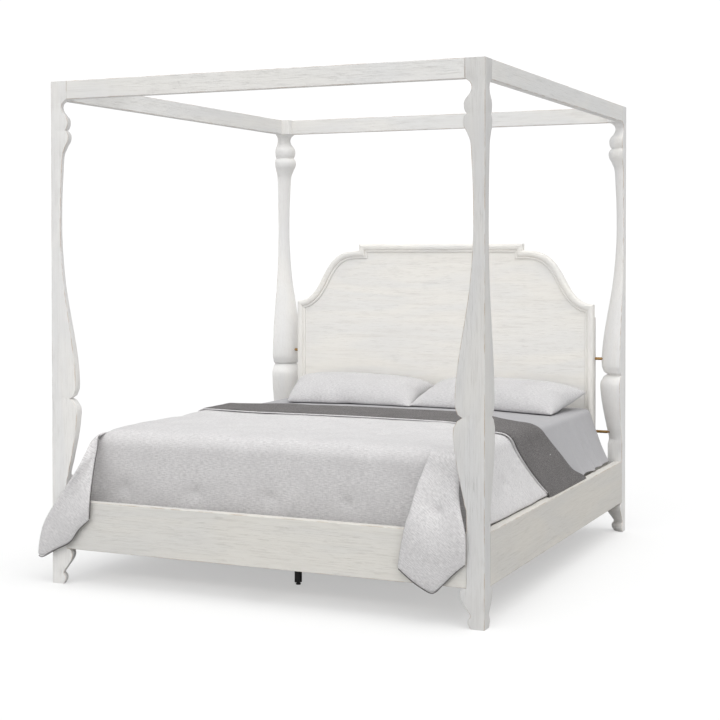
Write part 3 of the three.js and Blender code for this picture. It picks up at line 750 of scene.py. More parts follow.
def make_post(node):
    low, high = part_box(node)
    sx, sy = math.copysign(1, low.x), math.copysign(1, low.y)
    corner_x, corner_y = max(abs(low.x), abs(high.x)), max(abs(low.y), abs(high.y))
    rings, marked = [], []
    for square, run in PROFILE:
        step = BLOCK_STEP if square else SECTION_STEP
        for height, width in spline(run, step):
            ring, arris = post_section(width, square)
            marked.append(arris)
            rings.append(
                [
                    (sx * (corner_x - u * MM), sy * (corner_y - v * MM), height * MM)
                    for u, v in ring
                ]
            )
    vertices, faces = loft(rings)
    piece = link_mesh("finished_" + node, vertices, faces)
    count = len(rings[0])
    arris_faces = [
        r * count + i for r in range(len(rings) - 1) for i in range(count) if marked[r][i]
    ]
    set_arris(piece, arris_faces)
    face_out(piece)
    smooth(piece, 32)
    finish = oak_near_post_painted_shade if node == "post_foot_right" else oak_post_painted_light
    return place(piece, finish, "whitewashed_oak", [node])


for end in ("foot", "head"):
    for side in ("left", "right"):
        post = make_post(f"post_{end}_{side}")
print("a post has", len(post.data.vertices), "vertices")

# %% [markdown]
# ## The headboard
# The headboard is a flat veneered panel whose edge is covered by a planted moulding. The outline
# is flat across the top, steps down square, runs out in an ogee and drops straight to the rail.
# The moulding is one large round with a small bead inside it, mitred wherever the outline turns a
# corner. An ogee could be traced point by point, but two Bezier curves that share a slope where
# they meet have no flats in them, and they give the direction in which the moulding is wide.

# %% Headboard outline
panel_low, panel_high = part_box("headboard_panel")
BOARD_HALF = panel_high.x / MM
BOARD_TOP = panel_high.z / MM
STEP_AT = (510, BOARD_TOP - 38)
SHOULDER_END = (BOARD_HALF, 1277)
OGEE_MIDDLE = np.array((757, 1412))
OGEE_SLOPE = np.array((0.47, -0.88))
CROWN_HANDLES = (147, 123)
HOLLOW_HANDLES = (73, 90)


def bezier(points, steps):
    """Points and directions along a cubic curve."""
    p0, p1, p2, p3 = (np.array(p, float) for p in points)
    out = []
    for t in np.linspace(0, 1, steps + 1):
        at = (1 - t) ** 3 * p0 + 3 * (1 - t) ** 2 * t * p1 + 3 * (1 - t) * t**2 * p2 + t**3 * p3
        way = (1 - t) ** 2 * (p1 - p0) + 2 * (1 - t) * t * (p2 - p1) + t**2 * (p3 - p2)
        out.append((at, way / np.linalg.norm(way)))
    return out


def ogee(inset, steps=24):
    """The right shoulder from the step to the side, moved inward by a distance."""
    start, end = np.array(STEP_AT, float), np.array(SHOULDER_END, float)
    first, second = CROWN_HANDLES
    crown = (start, start + (first, 0), OGEE_MIDDLE - second * OGEE_SLOPE, OGEE_MIDDLE)
    third, fourth = HOLLOW_HANDLES
    hollow = (OGEE_MIDDLE, OGEE_MIDDLE + third * OGEE_SLOPE, end - (fourth, 0), end)
    run = bezier(crown, steps) + bezier(hollow, steps)[1:]
    return [(at[0] + way[1] * inset, at[1] - way[0] * inset) for at, way in run]


shoulder = ogee(0)
half_outline = [(STEP_AT[0], BOARD_TOP), *shoulder, (BOARD_HALF, panel_low.z / MM)]
outline = [(-x, z) for x, z in reversed(half_outline)] + half_outline
print("outline points:", len(outline))


# %% Headboard panel
def extruded(name, shape, y0, y1):
    """A flat board of a shape in X and Z, from y0 to y1."""
    count = len(shape)
    vertices = [(x * MM, y, z * MM) for y in (y0, y1) for x, z in shape]
    faces = [tuple(range(count)), tuple(reversed(range(count, 2 * count)))]
    faces += [(i, i + count, (i + 1) % count + count, (i + 1) % count) for i in range(count)]
    return link_mesh(name, vertices, faces)


panel = extruded("panel_with_ogee", outline, panel_low.y, panel_high.y)
face_out(panel)
set_arris(panel, [])
smooth(panel, 30)
place(panel, oak_panel_painted_light, "whitewashed_oak", ["headboard_panel"])
print("panel", tuple(round(v, 3) for v in panel.dimensions))

# %% The moulding's section
MOULDING_W = 50
# Across the moulding from its outer edge to its inner one, and how proud of the panel.
MOULDING_SECTION = [
    (0.0, 0.0), (0.0, 0.4), (0.015, 0.62), (0.06, 0.81), (0.14, 0.94), (0.25, 0.99), (0.36, 1.0),
    (0.47, 0.96), (0.57, 0.87), (0.64, 0.76), (0.68, 0.64), (0.695, 0.54), (0.70, 0.46),
    (0.712, 0.46), (0.73, 0.50), (0.77, 0.52), (0.83, 0.50), (0.89, 0.45), (0.94, 0.36),
    (0.975, 0.24), (0.985, 0.10), (1.0, 0.0),
]  # fmt: skip
moulding_low, moulding_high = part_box("moulding_top")
MOULDING_BACK = moulding_high.y
MOULDING_DEPTH = moulding_high.y - moulding_low.y
QUIRK_PAINTED_SHADE_FACES = (11, 12)  # the narrow faces beside the bead, which take the rubbed arris colour as painted shade
print("moulding:", MOULDING_W, "mm wide and", round(MOULDING_DEPTH / MM, 1), "deep")


# %% A length of moulding
def corner(x, z, dx=0.0, dz=0.0):
    """A mitre station: its outer and inner points."""
    return (x + dx, z + dz), (x - MOULDING_W + dx, z - MOULDING_W + dz)


def make_moulding(node, stations, sign):
    """A moulding through stations of (outer, inner) points. sign -1 mirrors it."""
    rings = []
    for outer, inner in stations:
        ring = []
        for share, proud in MOULDING_SECTION:
            x = outer[0] + (inner[0] - outer[0]) * share
            z = outer[1] + (inner[1] - outer[1]) * share
            ring.append((sign * x * MM, MOULDING_BACK - MOULDING_DEPTH * proud, z * MM))
        rings.append(ring)
    vertices, faces = loft(rings)
    piece = link_mesh("shaped_" + node, vertices, faces)
    count = len(MOULDING_SECTION)
    # The quirks take the rubbed arris colour as painted shade.
    set_arris(piece, [r * count + i for r in range(len(rings) - 1) for i in QUIRK_PAINTED_SHADE_FACES])
    face_out(piece)
    smooth(piece, 42)
    return piece


print("mitre at the top:", corner(STEP_AT[0], BOARD_TOP))

# %% The five mouldings
HAIR = 0.3  # the gap left at a mitre
inner_ogee = ogee(MOULDING_W)
shoulder_run = [
    corner(STEP_AT[0], BOARD_TOP, 0, -HAIR),
    corner(*STEP_AT),
    *list(zip(shoulder, inner_ogee))[1:-1],
    corner(*SHOULDER_END, -HAIR, 0),
]
side_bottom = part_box("moulding_side_right")[0].z / MM
side_run = [
    corner(*SHOULDER_END, 0, -HAIR),
    ((BOARD_HALF, side_bottom), (BOARD_HALF - MOULDING_W, side_bottom)),
]
top_right = corner(STEP_AT[0], BOARD_TOP, -HAIR, 0)
top_run = [tuple((-x, z) for x, z in top_right), top_right]
for node, run, sign, finish in (
    ("moulding_top", top_run, 1, oak_moulding_painted_light),
    ("moulding_shoulder_right", shoulder_run, 1, oak_moulding_painted_light),
    ("moulding_shoulder_left", shoulder_run, -1, oak_moulding_painted_light),
    ("moulding_side_right", side_run, 1, oak_side_moulding_painted_light),
    ("moulding_side_left", side_run, -1, oak_side_moulding_painted_light),
):
    place(make_moulding(node, run, sign), finish, "whitewashed_oak", [node])
print("mouldings: 5")

# %% [markdown]
# ## Turned hardware
# Bolts, screws and screw feet are turned on a lathe, so each is a profile spun round an axis.
# Stacked cylinders would do from afar, but a profile also has the small chamfers that a turner
# leaves. The size and place of each come from its frame node's box, whose long side is the axis.


# %% Lathe
def lathe(name, profile, start, way, sides=40):
    """profile is [(radius, distance)] from start along way, from axis to axis."""
    turn = Vector((0, 0, 1)).rotation_difference(Vector(way)).to_matrix()
    rings = []
    for radius, distance in profile:
        ring = []
        for i in range(sides):
            angle = 2 * math.pi * i / sides
            local = Vector((radius * math.cos(angle), radius * math.sin(angle), distance))
            ring.append(Vector(start) + turn @ (local * MM))
        rings.append(ring)
    vertices, faces = loft(rings)
    piece = link_mesh(name, vertices, faces)
    face_out(piece)
    smooth(piece, 35)
    return piece


print("lathe ready")

# %% Headboard bolts
BOLT_REACH = 42
for level in ("upper", "lower"):
    for side, sign in (("left", -1), ("right", 1)):
        node = f"headboard_bolt_{level}_{side}"
        low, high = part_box(node)
        length = (high.x - low.x) / MM
        start = (low.x if sign > 0 else high.x, (low.y + high.y) / 2, (low.z + high.z) / 2)
        far = length - BOLT_REACH
        profile = [
            (3.2, 0), (4, 0.8), (4, BOLT_REACH), (7.2, BOLT_REACH), (8, BOLT_REACH + 0.8),
            (8, far - 0.8), (7.2, far), (4, far), (4, length - 0.8), (3.2, length),
        ]  # fmt: skip
        bolt = lathe("turned_" + node, profile, start, (sign, 0, 0))
        place(bolt, bronze_bolt, "bronze_bolt", [node])
print("bolts are", round(length), "mm long")

# %% Canopy screws
for end, sign in (("foot", -1), ("head", 1)):
    for side in ("left", "right"):
        node = f"canopy_screw_{end}_{side}"
        low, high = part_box(node)
        length = (high.y - low.y) / MM
        start = ((low.x + high.x) / 2, low.y if sign > 0 else high.y, (low.z + high.z) / 2)
        profile = [
            (1.4, 2.2), (1.6, 0.3), (4.4, 0.3), (5.3, 0.9), (5.5, 1.8), (5.5, 5),
            (2.5, 5), (2.5, length - 4), (0.4, length),
        ]  # fmt: skip
        screw = lathe("turned_" + node, profile, start, (0, sign, 0))
        place(screw, zinc_steel, "zinc_steel", [node])
print("screws are", round(length), "mm long")

# %% Screw feet
THREAD_FROM = 9
PITCH = 1.5
for i in (1, 2, 3):
    node = f"screw_foot_{i}"
    low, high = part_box(node)
    start = ((low.x + high.x) / 2, (low.y + high.y) / 2, low.z)
    top = (high.z - low.z) / MM
    profile = [(9.8, 0), (11.2, 0.3), (12, 1.3), (12, 4.6), (11.3, 5.8), (9, 6.8), (5, 7)]
    distance = THREAD_FROM
    while distance < top - 4:
        profile += [(4.3, distance), (4.9, distance + PITCH / 2)]
        distance += PITCH
    profile += [(4.6, top - 0.6), (3.8, top)]
    foot = lathe("turned_" + node, profile, start, (0, 0, 1), 32)
    place(foot, black_steel, "black_steel", [node], body=node)
print("screw feet:", 3, "each with a thread of", PITCH, "mm pitch")

# %% [markdown]
# ## Finish: heathered slub weave and its charcoal reverse
# The comforter's face is a light grey cloth woven from uneven, slubby yarn: pale and darker
# threads run across the bed in short dashes, and its reverse is a dense charcoal weave. A weave
# belongs to the cloth and not to the room, so each cloth piece carries its own flat coordinates
# in metres, in a map called "cloth", and the pattern bends with it over every edge. The group
# gives the fine crossing threads, the slub dashes along the first direction and their height.

# %% Group: slub weave
weave_group, w_in, w_out = start_group(
    "slub_weave",
    [
        ("Cloth", "vector", (0, 0, 0)),
        ("Thread", "value", 0.0016),
        ("Slub Length", "value", 0.06),
        ("Slub Width", "value", 0.004),
    ],
    [("Threads", "value"), ("Slubs", "value"), ("Cloud", "value"), ("Height", "value")],
)
t = weave_group
cloth_parts = add_node(t, "ShaderNodeSeparateXYZ", {0: w_in.outputs["Cloth"]}).outputs
turns = math_node(t, "DIVIDE", 2 * math.pi, w_in.outputs["Thread"])
waves = []
for letter in ("X", "Y"):
    angle = math_node(t, "MULTIPLY", cloth_parts[letter], turns)
    waves.append(math_node(t, "ABSOLUTE", math_node(t, "SINE", angle)))
threads = math_node(t, "MULTIPLY", *waves)
along = math_node(t, "DIVIDE", 1.0, w_in.outputs["Slub Length"])
over = math_node(t, "DIVIDE", 1.0, w_in.outputs["Slub Width"])
slub_scale = add_node(t, "ShaderNodeCombineXYZ", {"X": along, "Y": over, "Z": along})
weft = stretched_noise(t, w_in.outputs["Cloth"], slub_scale.outputs[0], 3.0, 0.62)
warp_scale = add_node(
    t, "ShaderNodeCombineXYZ", {"X": math_node(t, "MULTIPLY", over, 1.2), "Y": along, "Z": along}
)
warp = stretched_noise(t, w_in.outputs["Cloth"], warp_scale.outputs[0], 2.0, 0.6)
slubs = math_node(
    t, "ADD", math_node(t, "MULTIPLY", weft, 0.72), math_node(t, "MULTIPLY", warp, 0.28)
)
blotch = stretched_noise(t, w_in.outputs["Cloth"], (7, 9, 7), 3.0, 0.6)
relief = math_node(t, "ADD", math_node(t, "MULTIPLY", threads, 0.35), slubs)
for label, value in (("Threads", threads), ("Slubs", slubs), ("Cloud", blotch), ("Height", relief)):
    t.links.new(value, w_out.inputs[label])
print("group", t.name, "with", len(t.nodes), "nodes")


# %% Cloth finishes
def woven_cloth(name, pale, dark, slub, thread, contrast, depth, sheen=0.25, rough=0.92):
    """slub is (length, width) in metres. contrast is the (low, high) of the slub noise."""
    made, tree, shader = start_material(name)
    cloth = add_node(tree, "ShaderNodeUVMap", uv_map="cloth").outputs["UV"]
    weave = use_group(
        tree,
        weave_group,
        {"Cloth": cloth, "Thread": thread, "Slub Length": slub[0], "Slub Width": slub[1]},
    )
    tone = mix_color(tree, ramp(tree, weave["Slubs"], *contrast), dark, pale)
    soft = math_node(tree, "MULTIPLY", ramp(tree, weave["Cloud"], 0.35, 0.7), 0.3)
    tone = mix_color(tree, soft, tone, dark)
    deep = math_node(tree, "MULTIPLY", math_node(tree, "SUBTRACT", 1.0, weave["Threads"]), 0.12)
    tone = mix_color(tree, deep, tone, dark)
    plug(tree, shader.inputs["Base Color"], tone)
    shader.inputs["Roughness"].default_value = rough
    shader.inputs["Sheen Weight"].default_value = sheen
    shader.inputs["Sheen Roughness"].default_value = 0.5
    shader.inputs["Specular IOR Level"].default_value = 0.2
    bump(tree, shader, weave["Height"], depth)
    return made


print("weaving ready")

# %% The bed's four cloths, and a darker copy of the heathered one for the shams as painted shade
heather = woven_cloth(
    "heathered_cover", (0.83, 0.815, 0.817, 1), (0.57, 0.557, 0.56, 1),
    (0.022, 0.004), 0.0022, (0.34, 0.66), 0.0008,
)  # fmt: skip
# The shams take the comforter's cloth; this darker copy of it is painted shade.
heather_painted_shade_for_shams = woven_cloth(
    "heathered_cover_painted_shade", (0.74, 0.73, 0.735, 1), (0.50, 0.49, 0.495, 1),
    (0.018, 0.004), 0.0022, (0.30, 0.70), 0.0008,
)  # fmt: skip
charcoal = woven_cloth(
    "charcoal_reverse", (0.25, 0.235, 0.232, 1), (0.09, 0.085, 0.085, 1),
    (0.010, 0.004), 0.0028, (0.38, 0.62), 0.0014, 0.1,
)  # fmt: skip
grey_sheet = woven_cloth(
    "grey_sheet", (0.46, 0.455, 0.465, 1), (0.40, 0.395, 0.41, 1),
    (0.03, 0.002), 0.0008, (0.3, 0.7), 0.0002, 0.08, 0.8,
)  # fmt: skip
ticking = woven_cloth(
    "mattress_ticking", (0.83, 0.815, 0.78, 1), (0.70, 0.68, 0.64, 1),
    (0.012, 0.006), 0.0030, (0.4, 0.6), 0.0008,
)  # fmt: skip
print("cloths:", [m.name for m in (heather, heather_painted_shade_for_shams, charcoal, grey_sheet, ticking)])

# %% [markdown]
# ## Helpers for cloth pieces
# A made-up cloth piece is two layers sewn together at their edges. A Solidify modifier would make
# it equally thick up to a square rim, as if cut from board. So a grid of points gives the middle
# of the cloth, each layer stands off it by half the filling, and the filling thins to nothing at
# the rim, where both layers share the sewn edge. The grid's own flat coordinates go into the
# "cloth" map. One subdivision rounds everything.


# %% Small cloth helpers
def lay_out(rows, columns, at):
    """Two grids from at(row, column), which gives a point and its flat cloth coordinates."""
    pairs = [[at(row, column) for column in columns] for row in rows]
    points = [[point for point, _ in line] for line in pairs]
    return points, [[flat for _, flat in line] for line in pairs]


def set_cloth_map(piece, maps=None):
    """Adds the flat "cloth" coordinates, one pair for each corner of each face."""
    layer = piece.data.uv_layers.new(name="cloth")
    if maps is not None:
        layer.data.foreach_set("uv", np.array(maps, float).ravel())


def refine(piece):
    """One subdivision, which rounds everything."""
    finer = piece.modifiers.new("finer", "SUBSURF")
    finer.levels = finer.render_levels = 1
    apply_modifiers(piece)


def ripple(point, scale, seed):
    """Smooth repeatable unevenness between -1 and 1."""
    return noise.noise(Vector(point) * scale + Vector((seed * 7.3, seed * 3.1, seed * 1.7)))


def smoothstep(low, high, value):
    t = np.clip((value - low) / (high - low), 0, 1)
    return t * t * (3 - 2 * t)


print("halfway through a smoothstep:", float(smoothstep(0, 1, 0.5)))


# %% What a grid of cells looks like
def corners_of(i, j):
    return ((i, j), (i + 1, j), (i + 1, j + 1), (i, j + 1))


def border_of(cells):
    """The grid corners on edges that only one cell has."""
    count = {}
    for i, j in cells:
        ring = corners_of(i, j)
        for a, b in zip(ring, (*ring[1:], ring[0])):
            key = (min(a, b), max(a, b))
            count[key] = count.get(key, 0) + 1
    return {k for edge, n in count.items() if n == 1 for k in edge}


def grid_normals(cells, used, places):
    normals = np.zeros_like(places)
    for i, j in cells:
        corners = [used[k] for k in corners_of(i, j)]
        p = places[corners]
        normals[corners] += np.cross(p[2] - p[0], p[3] - p[1])
    return normals / np.maximum(np.linalg.norm(normals, axis=1), 1e-12)[:, None]


def reach_to(places, border_places, batch=512):
    """How far each place is from the nearest one on the border."""
    reach = np.empty(len(places))
    for n in range(0, len(places), batch):
        gap = places[n : n + batch, None] - border_places[None]
        reach[n : n + batch] = np.sqrt((gap**2).sum(2)).min(1)
    return reach


print("corners on the border of one cell:", len(border_of([(0, 0)])))


# %% Sewn cloth
def sewn_cloth(name, grid, flat, fill, rim=0.03, missing=(), refined=True):
    """grid[i][j] are points and flat[i][j] their cloth coordinates. fill is the thickness in the
    middle, or a function of the cloth coordinates, and rim how wide the thinning edge is. missing
    holds the (i, j) cells that are cut away. The first material faces the grid's normal."""
    rows, columns = len(grid), len(grid[0])
    cells = [
        (i, j) for i in range(rows - 1) for j in range(columns - 1) if (i, j) not in missing
    ]
    used = {}
    for i, j in cells:
        for k in corners_of(i, j):
            used.setdefault(k, len(used))
    border = border_of(cells)
    places = np.array([grid[i][j] for i, j in used], float)
    normals = grid_normals(cells, used, places)
    reach = reach_to(places, np.array([grid[i][j] for i, j in used if (i, j) in border], float))
    swell = np.sqrt(1 - (1 - np.clip(reach / rim, 0, 1)) ** 2)
    half = np.asarray(fill(np.array([flat[i][j] for i, j in used])) if callable(fill) else fill)
    half = half * swell / 2
    vertices = list(places + normals * half[:, None])
    lower = places - normals * half[:, None]
    under = {}
    for n, k in enumerate(used):
        under[n] = n if k in border else len(vertices)
        if k not in border:
            vertices.append(lower[n])
    faces, maps, sides = [], [], []
    for i, j in cells:
        ring = corners_of(i, j)
        corners = [used[k] for k in ring]
        faces += [tuple(corners), tuple(under[n] for n in reversed(corners))]
        maps += [flat[a][b] for a, b in (*ring, *reversed(ring))]
        sides += [0, 1]
    piece = link_mesh(name, vertices, faces)
    set_cloth_map(piece, maps)
    piece.data.polygons.foreach_set("material_index", sides)
    piece.data.shade_smooth()
    if refined:
        refine(piece)
    return piece


print("sewing ready")

# %% [markdown]
# ## Where covers lie
# Every cover lies over the same mattress and hangs down to the tops of the side rails, so they
# all share one section across the bed. The section is a curve: up the slanting side, round the
# mattress edge and over a slightly crowned top. across(d) gives it at a distance d above the
# mattress, as a function of the length of cloth from the middle of the bed. Sizes come from the
# mattress and the rails of the frame.

# %% The section across the bed
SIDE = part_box("mattress")[1].x
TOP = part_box("mattress")[1].z
FOOT_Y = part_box("comforter")[0].y
HEM_X = 1.026
HEM_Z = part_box("side_rail_right")[1].z + 0.0015
EDGE_R = 0.024
CROWN = 0.010
print("mattress edge at", round(SIDE, 3), "hem at", HEM_X, round(HEM_Z, 3))


# %% The curve across the bed
def across(distance):
    """(length of cloth from the middle, x, z) along the right half."""
    side, top, radius = SIDE + distance, TOP + distance, EDGE_R + distance
    run = []
    for x in np.linspace(0, side - radius, 60):
        run.append((x, top + CROWN * (1 - (x / side) ** 2)))
    drop = run[-1][1] - top
    for angle in np.linspace(0, math.pi / 2, 14)[1:]:
        fade = 1 - angle / (math.pi / 2)
        run.append(
            (
                side - radius + radius * math.sin(angle),
                top - radius + radius * math.cos(angle) + drop * fade,
            )
        )
    hem_x = HEM_X + distance
    for t in np.linspace(1, 0, 24)[1:]:
        x = hem_x + (side - hem_x) * t**0.8
        run.append((x, HEM_Z + (top - radius - HEM_Z) * t))
    run = np.array(run)
    length = np.concatenate([[0], np.cumsum(np.linalg.norm(np.diff(run, axis=0), axis=1))])
    return length, run[:, 0], run[:, 1]


def on_section(section, a):
    """The place of a point a metres of cloth right (or left, if negative) of the middle."""
    length, xs, zs = section
    return math.copysign(np.interp(abs(a), length, xs), a), np.interp(abs(a), length, zs)


section_store = {}


def across_cached(distance):
    """across() to a tenth of a millimetre, kept for the next time it is asked for."""
    key = round(distance, 4)
    if key not in section_store:
        section_store[key] = across(key)
    return section_store[key]


print("cloth from middle to hem:", round(float(across(0.03)[0][-1]), 3))

# %% [markdown]
# ## The comforter
# The comforter is one large quilted cloth. It lies over the bed, rolls over the foot of the
# mattress and is tucked down behind the footboard, and hangs down both sides to the rails. Its
# surface is a grid, and the side hangings stop short of the foot, so the grid has its two foot
# corners cut away. A cloth simulation would find its own folds, but not the ones this bed has, so
# the large shape is drawn. Small thread tufts dimple it, the filling puffs between them, and slow
# ripples keep it from looking pressed.

# %% Comforter measures
COMFORTER_FILL = 0.024
COMFORTER_MID = 0.020  # the middle of its thickness, above the mattress
CELL = 0.02
ROLL_R = 0.07
TURN_Y = FOOT_Y + COMFORTER_FILL / 2 + 0.004 + ROLL_R
TUCK_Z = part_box("comforter")[0].z + 0.004

comforter_section = across_cached(COMFORTER_MID)
half_cloth = float(comforter_section[0][-1])
edge_a = float(np.interp(SIDE, comforter_section[1], comforter_section[0]))
print("half its width of cloth:", round(half_cloth, 3), "of which on top:", round(edge_a, 3))

# %% Where the cloth is folded back. Each side has its own slant: y at the edge, y at the hem.
FOLD_Y = 0.25
FOLD_ENDS = {"left": (0.21, 0.31), "right": (-0.01, 0.37)}
BAND_Y = -0.165
BAND_ENDS = {"left": (-0.09, -0.05), "right": (-0.45, -0.21)}


def down_side(a):
    """0 on top of the bed, and from 0 to 1 down its side."""
    return min(1, max(0, (abs(a) - edge_a) / (half_cloth - edge_a)))


def fold_head(a):
    """Y of the fold at the head end of the comforter."""
    at_edge, at_hem = FOLD_ENDS["right" if a > 0 else "left"]
    on_top = FOLD_Y + (at_edge - FOLD_Y) * smoothstep(0.45, edge_a, abs(a))
    return on_top + (at_hem - at_edge) * down_side(a)


def fold_foot(a):
    """Y of the turned-back edge."""
    at_edge, at_hem = BAND_ENDS["right" if a > 0 else "left"]
    on_top = BAND_Y + (at_edge - BAND_Y) * smoothstep(0.50, edge_a, abs(a))
    return on_top + (at_hem - at_edge) * down_side(a) ** 1.5


print("band in the middle:", round(float(fold_head(0) - fold_foot(0)), 3), "m")

# %% Tufts and puffing
TUFT_ACROSS, TUFT_ALONG = 0.37, 0.34
FIRST_TUFT_Y = -1.36


def tuft_places():
    """Cloth coordinates of the tufts, in staggered rows."""
    places = []
    for row in range(-1, 6):
        shift = 0.5 if row % 2 else 0.0
        for column in range(-4, 5):
            places.append(((column + shift) * TUFT_ACROSS, FIRST_TUFT_Y + row * TUFT_ALONG))
    return np.array(places)


tufts = tuft_places()


def bell(distance, width):
    """1 at no distance, fading to nothing over about two widths."""
    return math.exp(-((distance / width) ** 2))


def puff(a, b):
    """How far the surface stands out of its mean at a cloth place: dimples and slow ripples."""
    nearest = np.sqrt(((tufts - (a, b)) ** 2).sum(1)).min()
    dimple = -0.011 * bell(nearest, 0.026) - 0.006 * bell(nearest, 0.08)
    spokes = 0.0016 * ripple((a, b, 0), 26, 3) * bell(nearest, 0.12)
    return dimple + spokes + 0.004 * ripple((a, b, 0), 4.2, 1) + 0.0018 * ripple((a, b, 0), 11, 2)


print("a tuft is pulled in by", round(-puff(*tufts[30]) / MM), "mm")

# %% Every point of the comforter
FLAT_ROWS, ROLL_ROWS, FALL_ROWS = 68, 8, 17
CUT_BEYOND = 0.045  # past the mattress edge, the foot corners are cut away


def comforter_point(i, a):
    """Row i counts from the fold. a is how far across, in cloth."""
    x, z = on_section(comforter_section, a)
    head = fold_head(a) - 0.012
    rolled = fallen = 0
    if i <= FLAT_ROWS:
        y = b = head + (TURN_Y - head) * i / FLAT_ROWS
    else:
        b = TURN_Y - (i - FLAT_ROWS) * CELL
        hanging = float(smoothstep(edge_a - 0.02, edge_a + 0.07, abs(a)))
        rolled = min(1, (i - FLAT_ROWS) / ROLL_ROWS) * math.pi / 2
        drawn_in = 0.012 + 0.05 * down_side(a)
        y = TURN_Y - ROLL_R * math.sin(rolled)
        x -= math.copysign(drawn_in * (1 - math.cos(rolled)) * hanging, a)
        z -= ROLL_R * (1 - math.cos(rolled)) * (1 - hanging)
    if i > FLAT_ROWS + ROLL_ROWS:
        fallen = (i - FLAT_ROWS - ROLL_ROWS) / FALL_ROWS
        z += (TUCK_Z - z) * fallen
        x *= 1.008 + 0.055 * fallen**0.7
    rise = puff(a, b) * (1 - 0.8 * smoothstep(0.6, 1, fallen))
    slope = smoothstep(edge_a - 0.03, edge_a + 0.06, abs(a))
    side = slope * (1 - float(smoothstep(0.2, 1, rolled)) * 0.8)
    out = Vector((math.copysign(side, a), -math.sin(rolled), math.cos(rolled) * (1 - slope) + 1e-4))
    return Vector((x, y, z)) + out.normalized() * rise, (a, b)


print("rows of the comforter:", FLAT_ROWS + ROLL_ROWS + FALL_ROWS + 1)

# %% Sew the comforter
columns = np.linspace(-half_cloth, half_cloth, 2 * round(half_cloth / CELL) + 1)[::-1]
cut_away = {
    (i, j)
    for i in range(FLAT_ROWS + ROLL_ROWS, FLAT_ROWS + ROLL_ROWS + FALL_ROWS)
    for j in range(len(columns) - 1)
    if max(abs(columns[j]), abs(columns[j + 1])) > edge_a + CUT_BEYOND
}
grid, flat = lay_out(range(FLAT_ROWS + ROLL_ROWS + FALL_ROWS + 1), columns, comforter_point)
comforter = sewn_cloth("quilted_comforter", grid, flat, COMFORTER_FILL, 0.05, cut_away)
place(comforter, [heather, charcoal], "heathered_cover", ["comforter"])
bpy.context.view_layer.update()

# %% [markdown]
# ## The turned-back end
# At the head the comforter is folded back over itself, so its charcoal reverse shows as a band.
# It could be a second colour painted on the comforter, but then nothing would stand up at the
# fold. The band is the same cloth going round a tight roll, so the grid runs from the sewn edge,
# along the top of the comforter, round the roll and a little way underneath. Down the sides the
# band is skewed, and its last corner swings out towards the head.

# %% Turned-back end
TURN_FILL = 0.012
TURN_MID = 0.040
FOLD_R = 0.014
BAND_ROWS, CURL_ROWS = 22, 7
BEYOND_HEM = 0.03


def turnback_point(i, a):
    """Row i counts from the sewn edge. a is how far across, in cloth."""
    foot, head = fold_foot(a), fold_head(a) - FOLD_R
    near_hem = smoothstep(half_cloth - 0.05, half_cloth + 0.03, abs(a))
    head += 0.15 * near_hem**1.4
    if i <= BAND_ROWS:
        y = b = foot + (head - foot) * i / BAND_ROWS
        d = TURN_MID
    else:
        angle = (i - BAND_ROWS) / CURL_ROWS * math.pi
        y = head + FOLD_R * math.sin(angle) * (1 - near_hem)
        d = TURN_MID - FOLD_R * (1 - math.cos(angle)) * (1 - near_hem)
        b = head + FOLD_R * angle
    d += 0.0035 * ripple((a, b, 0), 5, 5) + 0.0015 * ripple((a, b, 0), 14, 6)
    x, z = on_section(across_cached(d), a)
    over_hem = abs(a) - half_cloth
    if over_hem > 0:
        z -= over_hem
        x = math.copysign(abs(x) + 0.002, x)
    return Vector((x, y, z)), (a, b)


half_band = half_cloth + BEYOND_HEM
columns = np.linspace(-half_band, half_band, 2 * round(half_cloth / CELL) + 3)
grid, flat = lay_out(range(BAND_ROWS + CURL_ROWS + 1), columns, turnback_point)
turnback = sewn_cloth("turned_back_end", grid, flat, TURN_FILL, 0.02)
place(turnback, [charcoal, charcoal], "charcoal_reverse", ["comforter_turnback"])
print("turned-back end:", len(turnback.data.polygons), "faces")

# %% [markdown]
# ## The corner flaps
# At each foot corner the spare cloth of the comforter is pulled out between the mattress and the
# post and hangs over the footboard as a pointed flap. Only its four edges are known, so it is
# made as a Coons patch: the surface is blended from its top, bottom and side curves. The blend is
# then puffed a little, and the patch starts inside the comforter so that the two read as one.


# %% A smooth line of points
def run_through(points, count):
    """Points evenly spread along a smooth curve through the given ones, in millimetres."""
    points = [Vector(p) * MM for p in points]
    dense = [hermite(*four, i / 16) for four in windows(points) for i in range(16)] + [points[-1]]
    steps = [0.0]
    for a, b in zip(dense, dense[1:]):
        steps.append(steps[-1] + (b - a).length)
    out = []
    for s in np.linspace(0, steps[-1], count):
        k = min(int(np.searchsorted(steps, s, side="right")) - 1, len(dense) - 2)
        share = (s - steps[k]) / max(steps[k + 1] - steps[k], 1e-9)
        out.append(dense[k].lerp(dense[k + 1], share))
    return out


print("middle of a straight line:", run_through([(0, 0, 0), (100, 0, 0)], 3)[1])


# %% Coons patch
def coons(top, bottom, left, right, puffed, seed):
    """A patch between four curves of points. left and right run from top to bottom."""
    rows, columns = len(left), len(top)
    grid = []
    for i in range(rows):
        v = i / (rows - 1)
        row = []
        for j in range(columns):
            u = j / (columns - 1)
            ruled = top[j] * (1 - v) + bottom[j] * v + left[i] * (1 - u) + right[i] * u
            corners = (
                top[0] * (1 - u) * (1 - v)
                + top[-1] * u * (1 - v)
                + bottom[0] * (1 - u) * v
                + bottom[-1] * u * v
            )
            p = ruled - corners
            swell = math.sin(math.pi * u) ** 0.7 * math.sin(math.pi * min(1, v * 1.05)) ** 0.6
            p.y -= puffed * swell + 0.006 * ripple(p, 9, seed) * swell
            row.append(p)
        grid.append(row)
    return grid


print("patches ready")

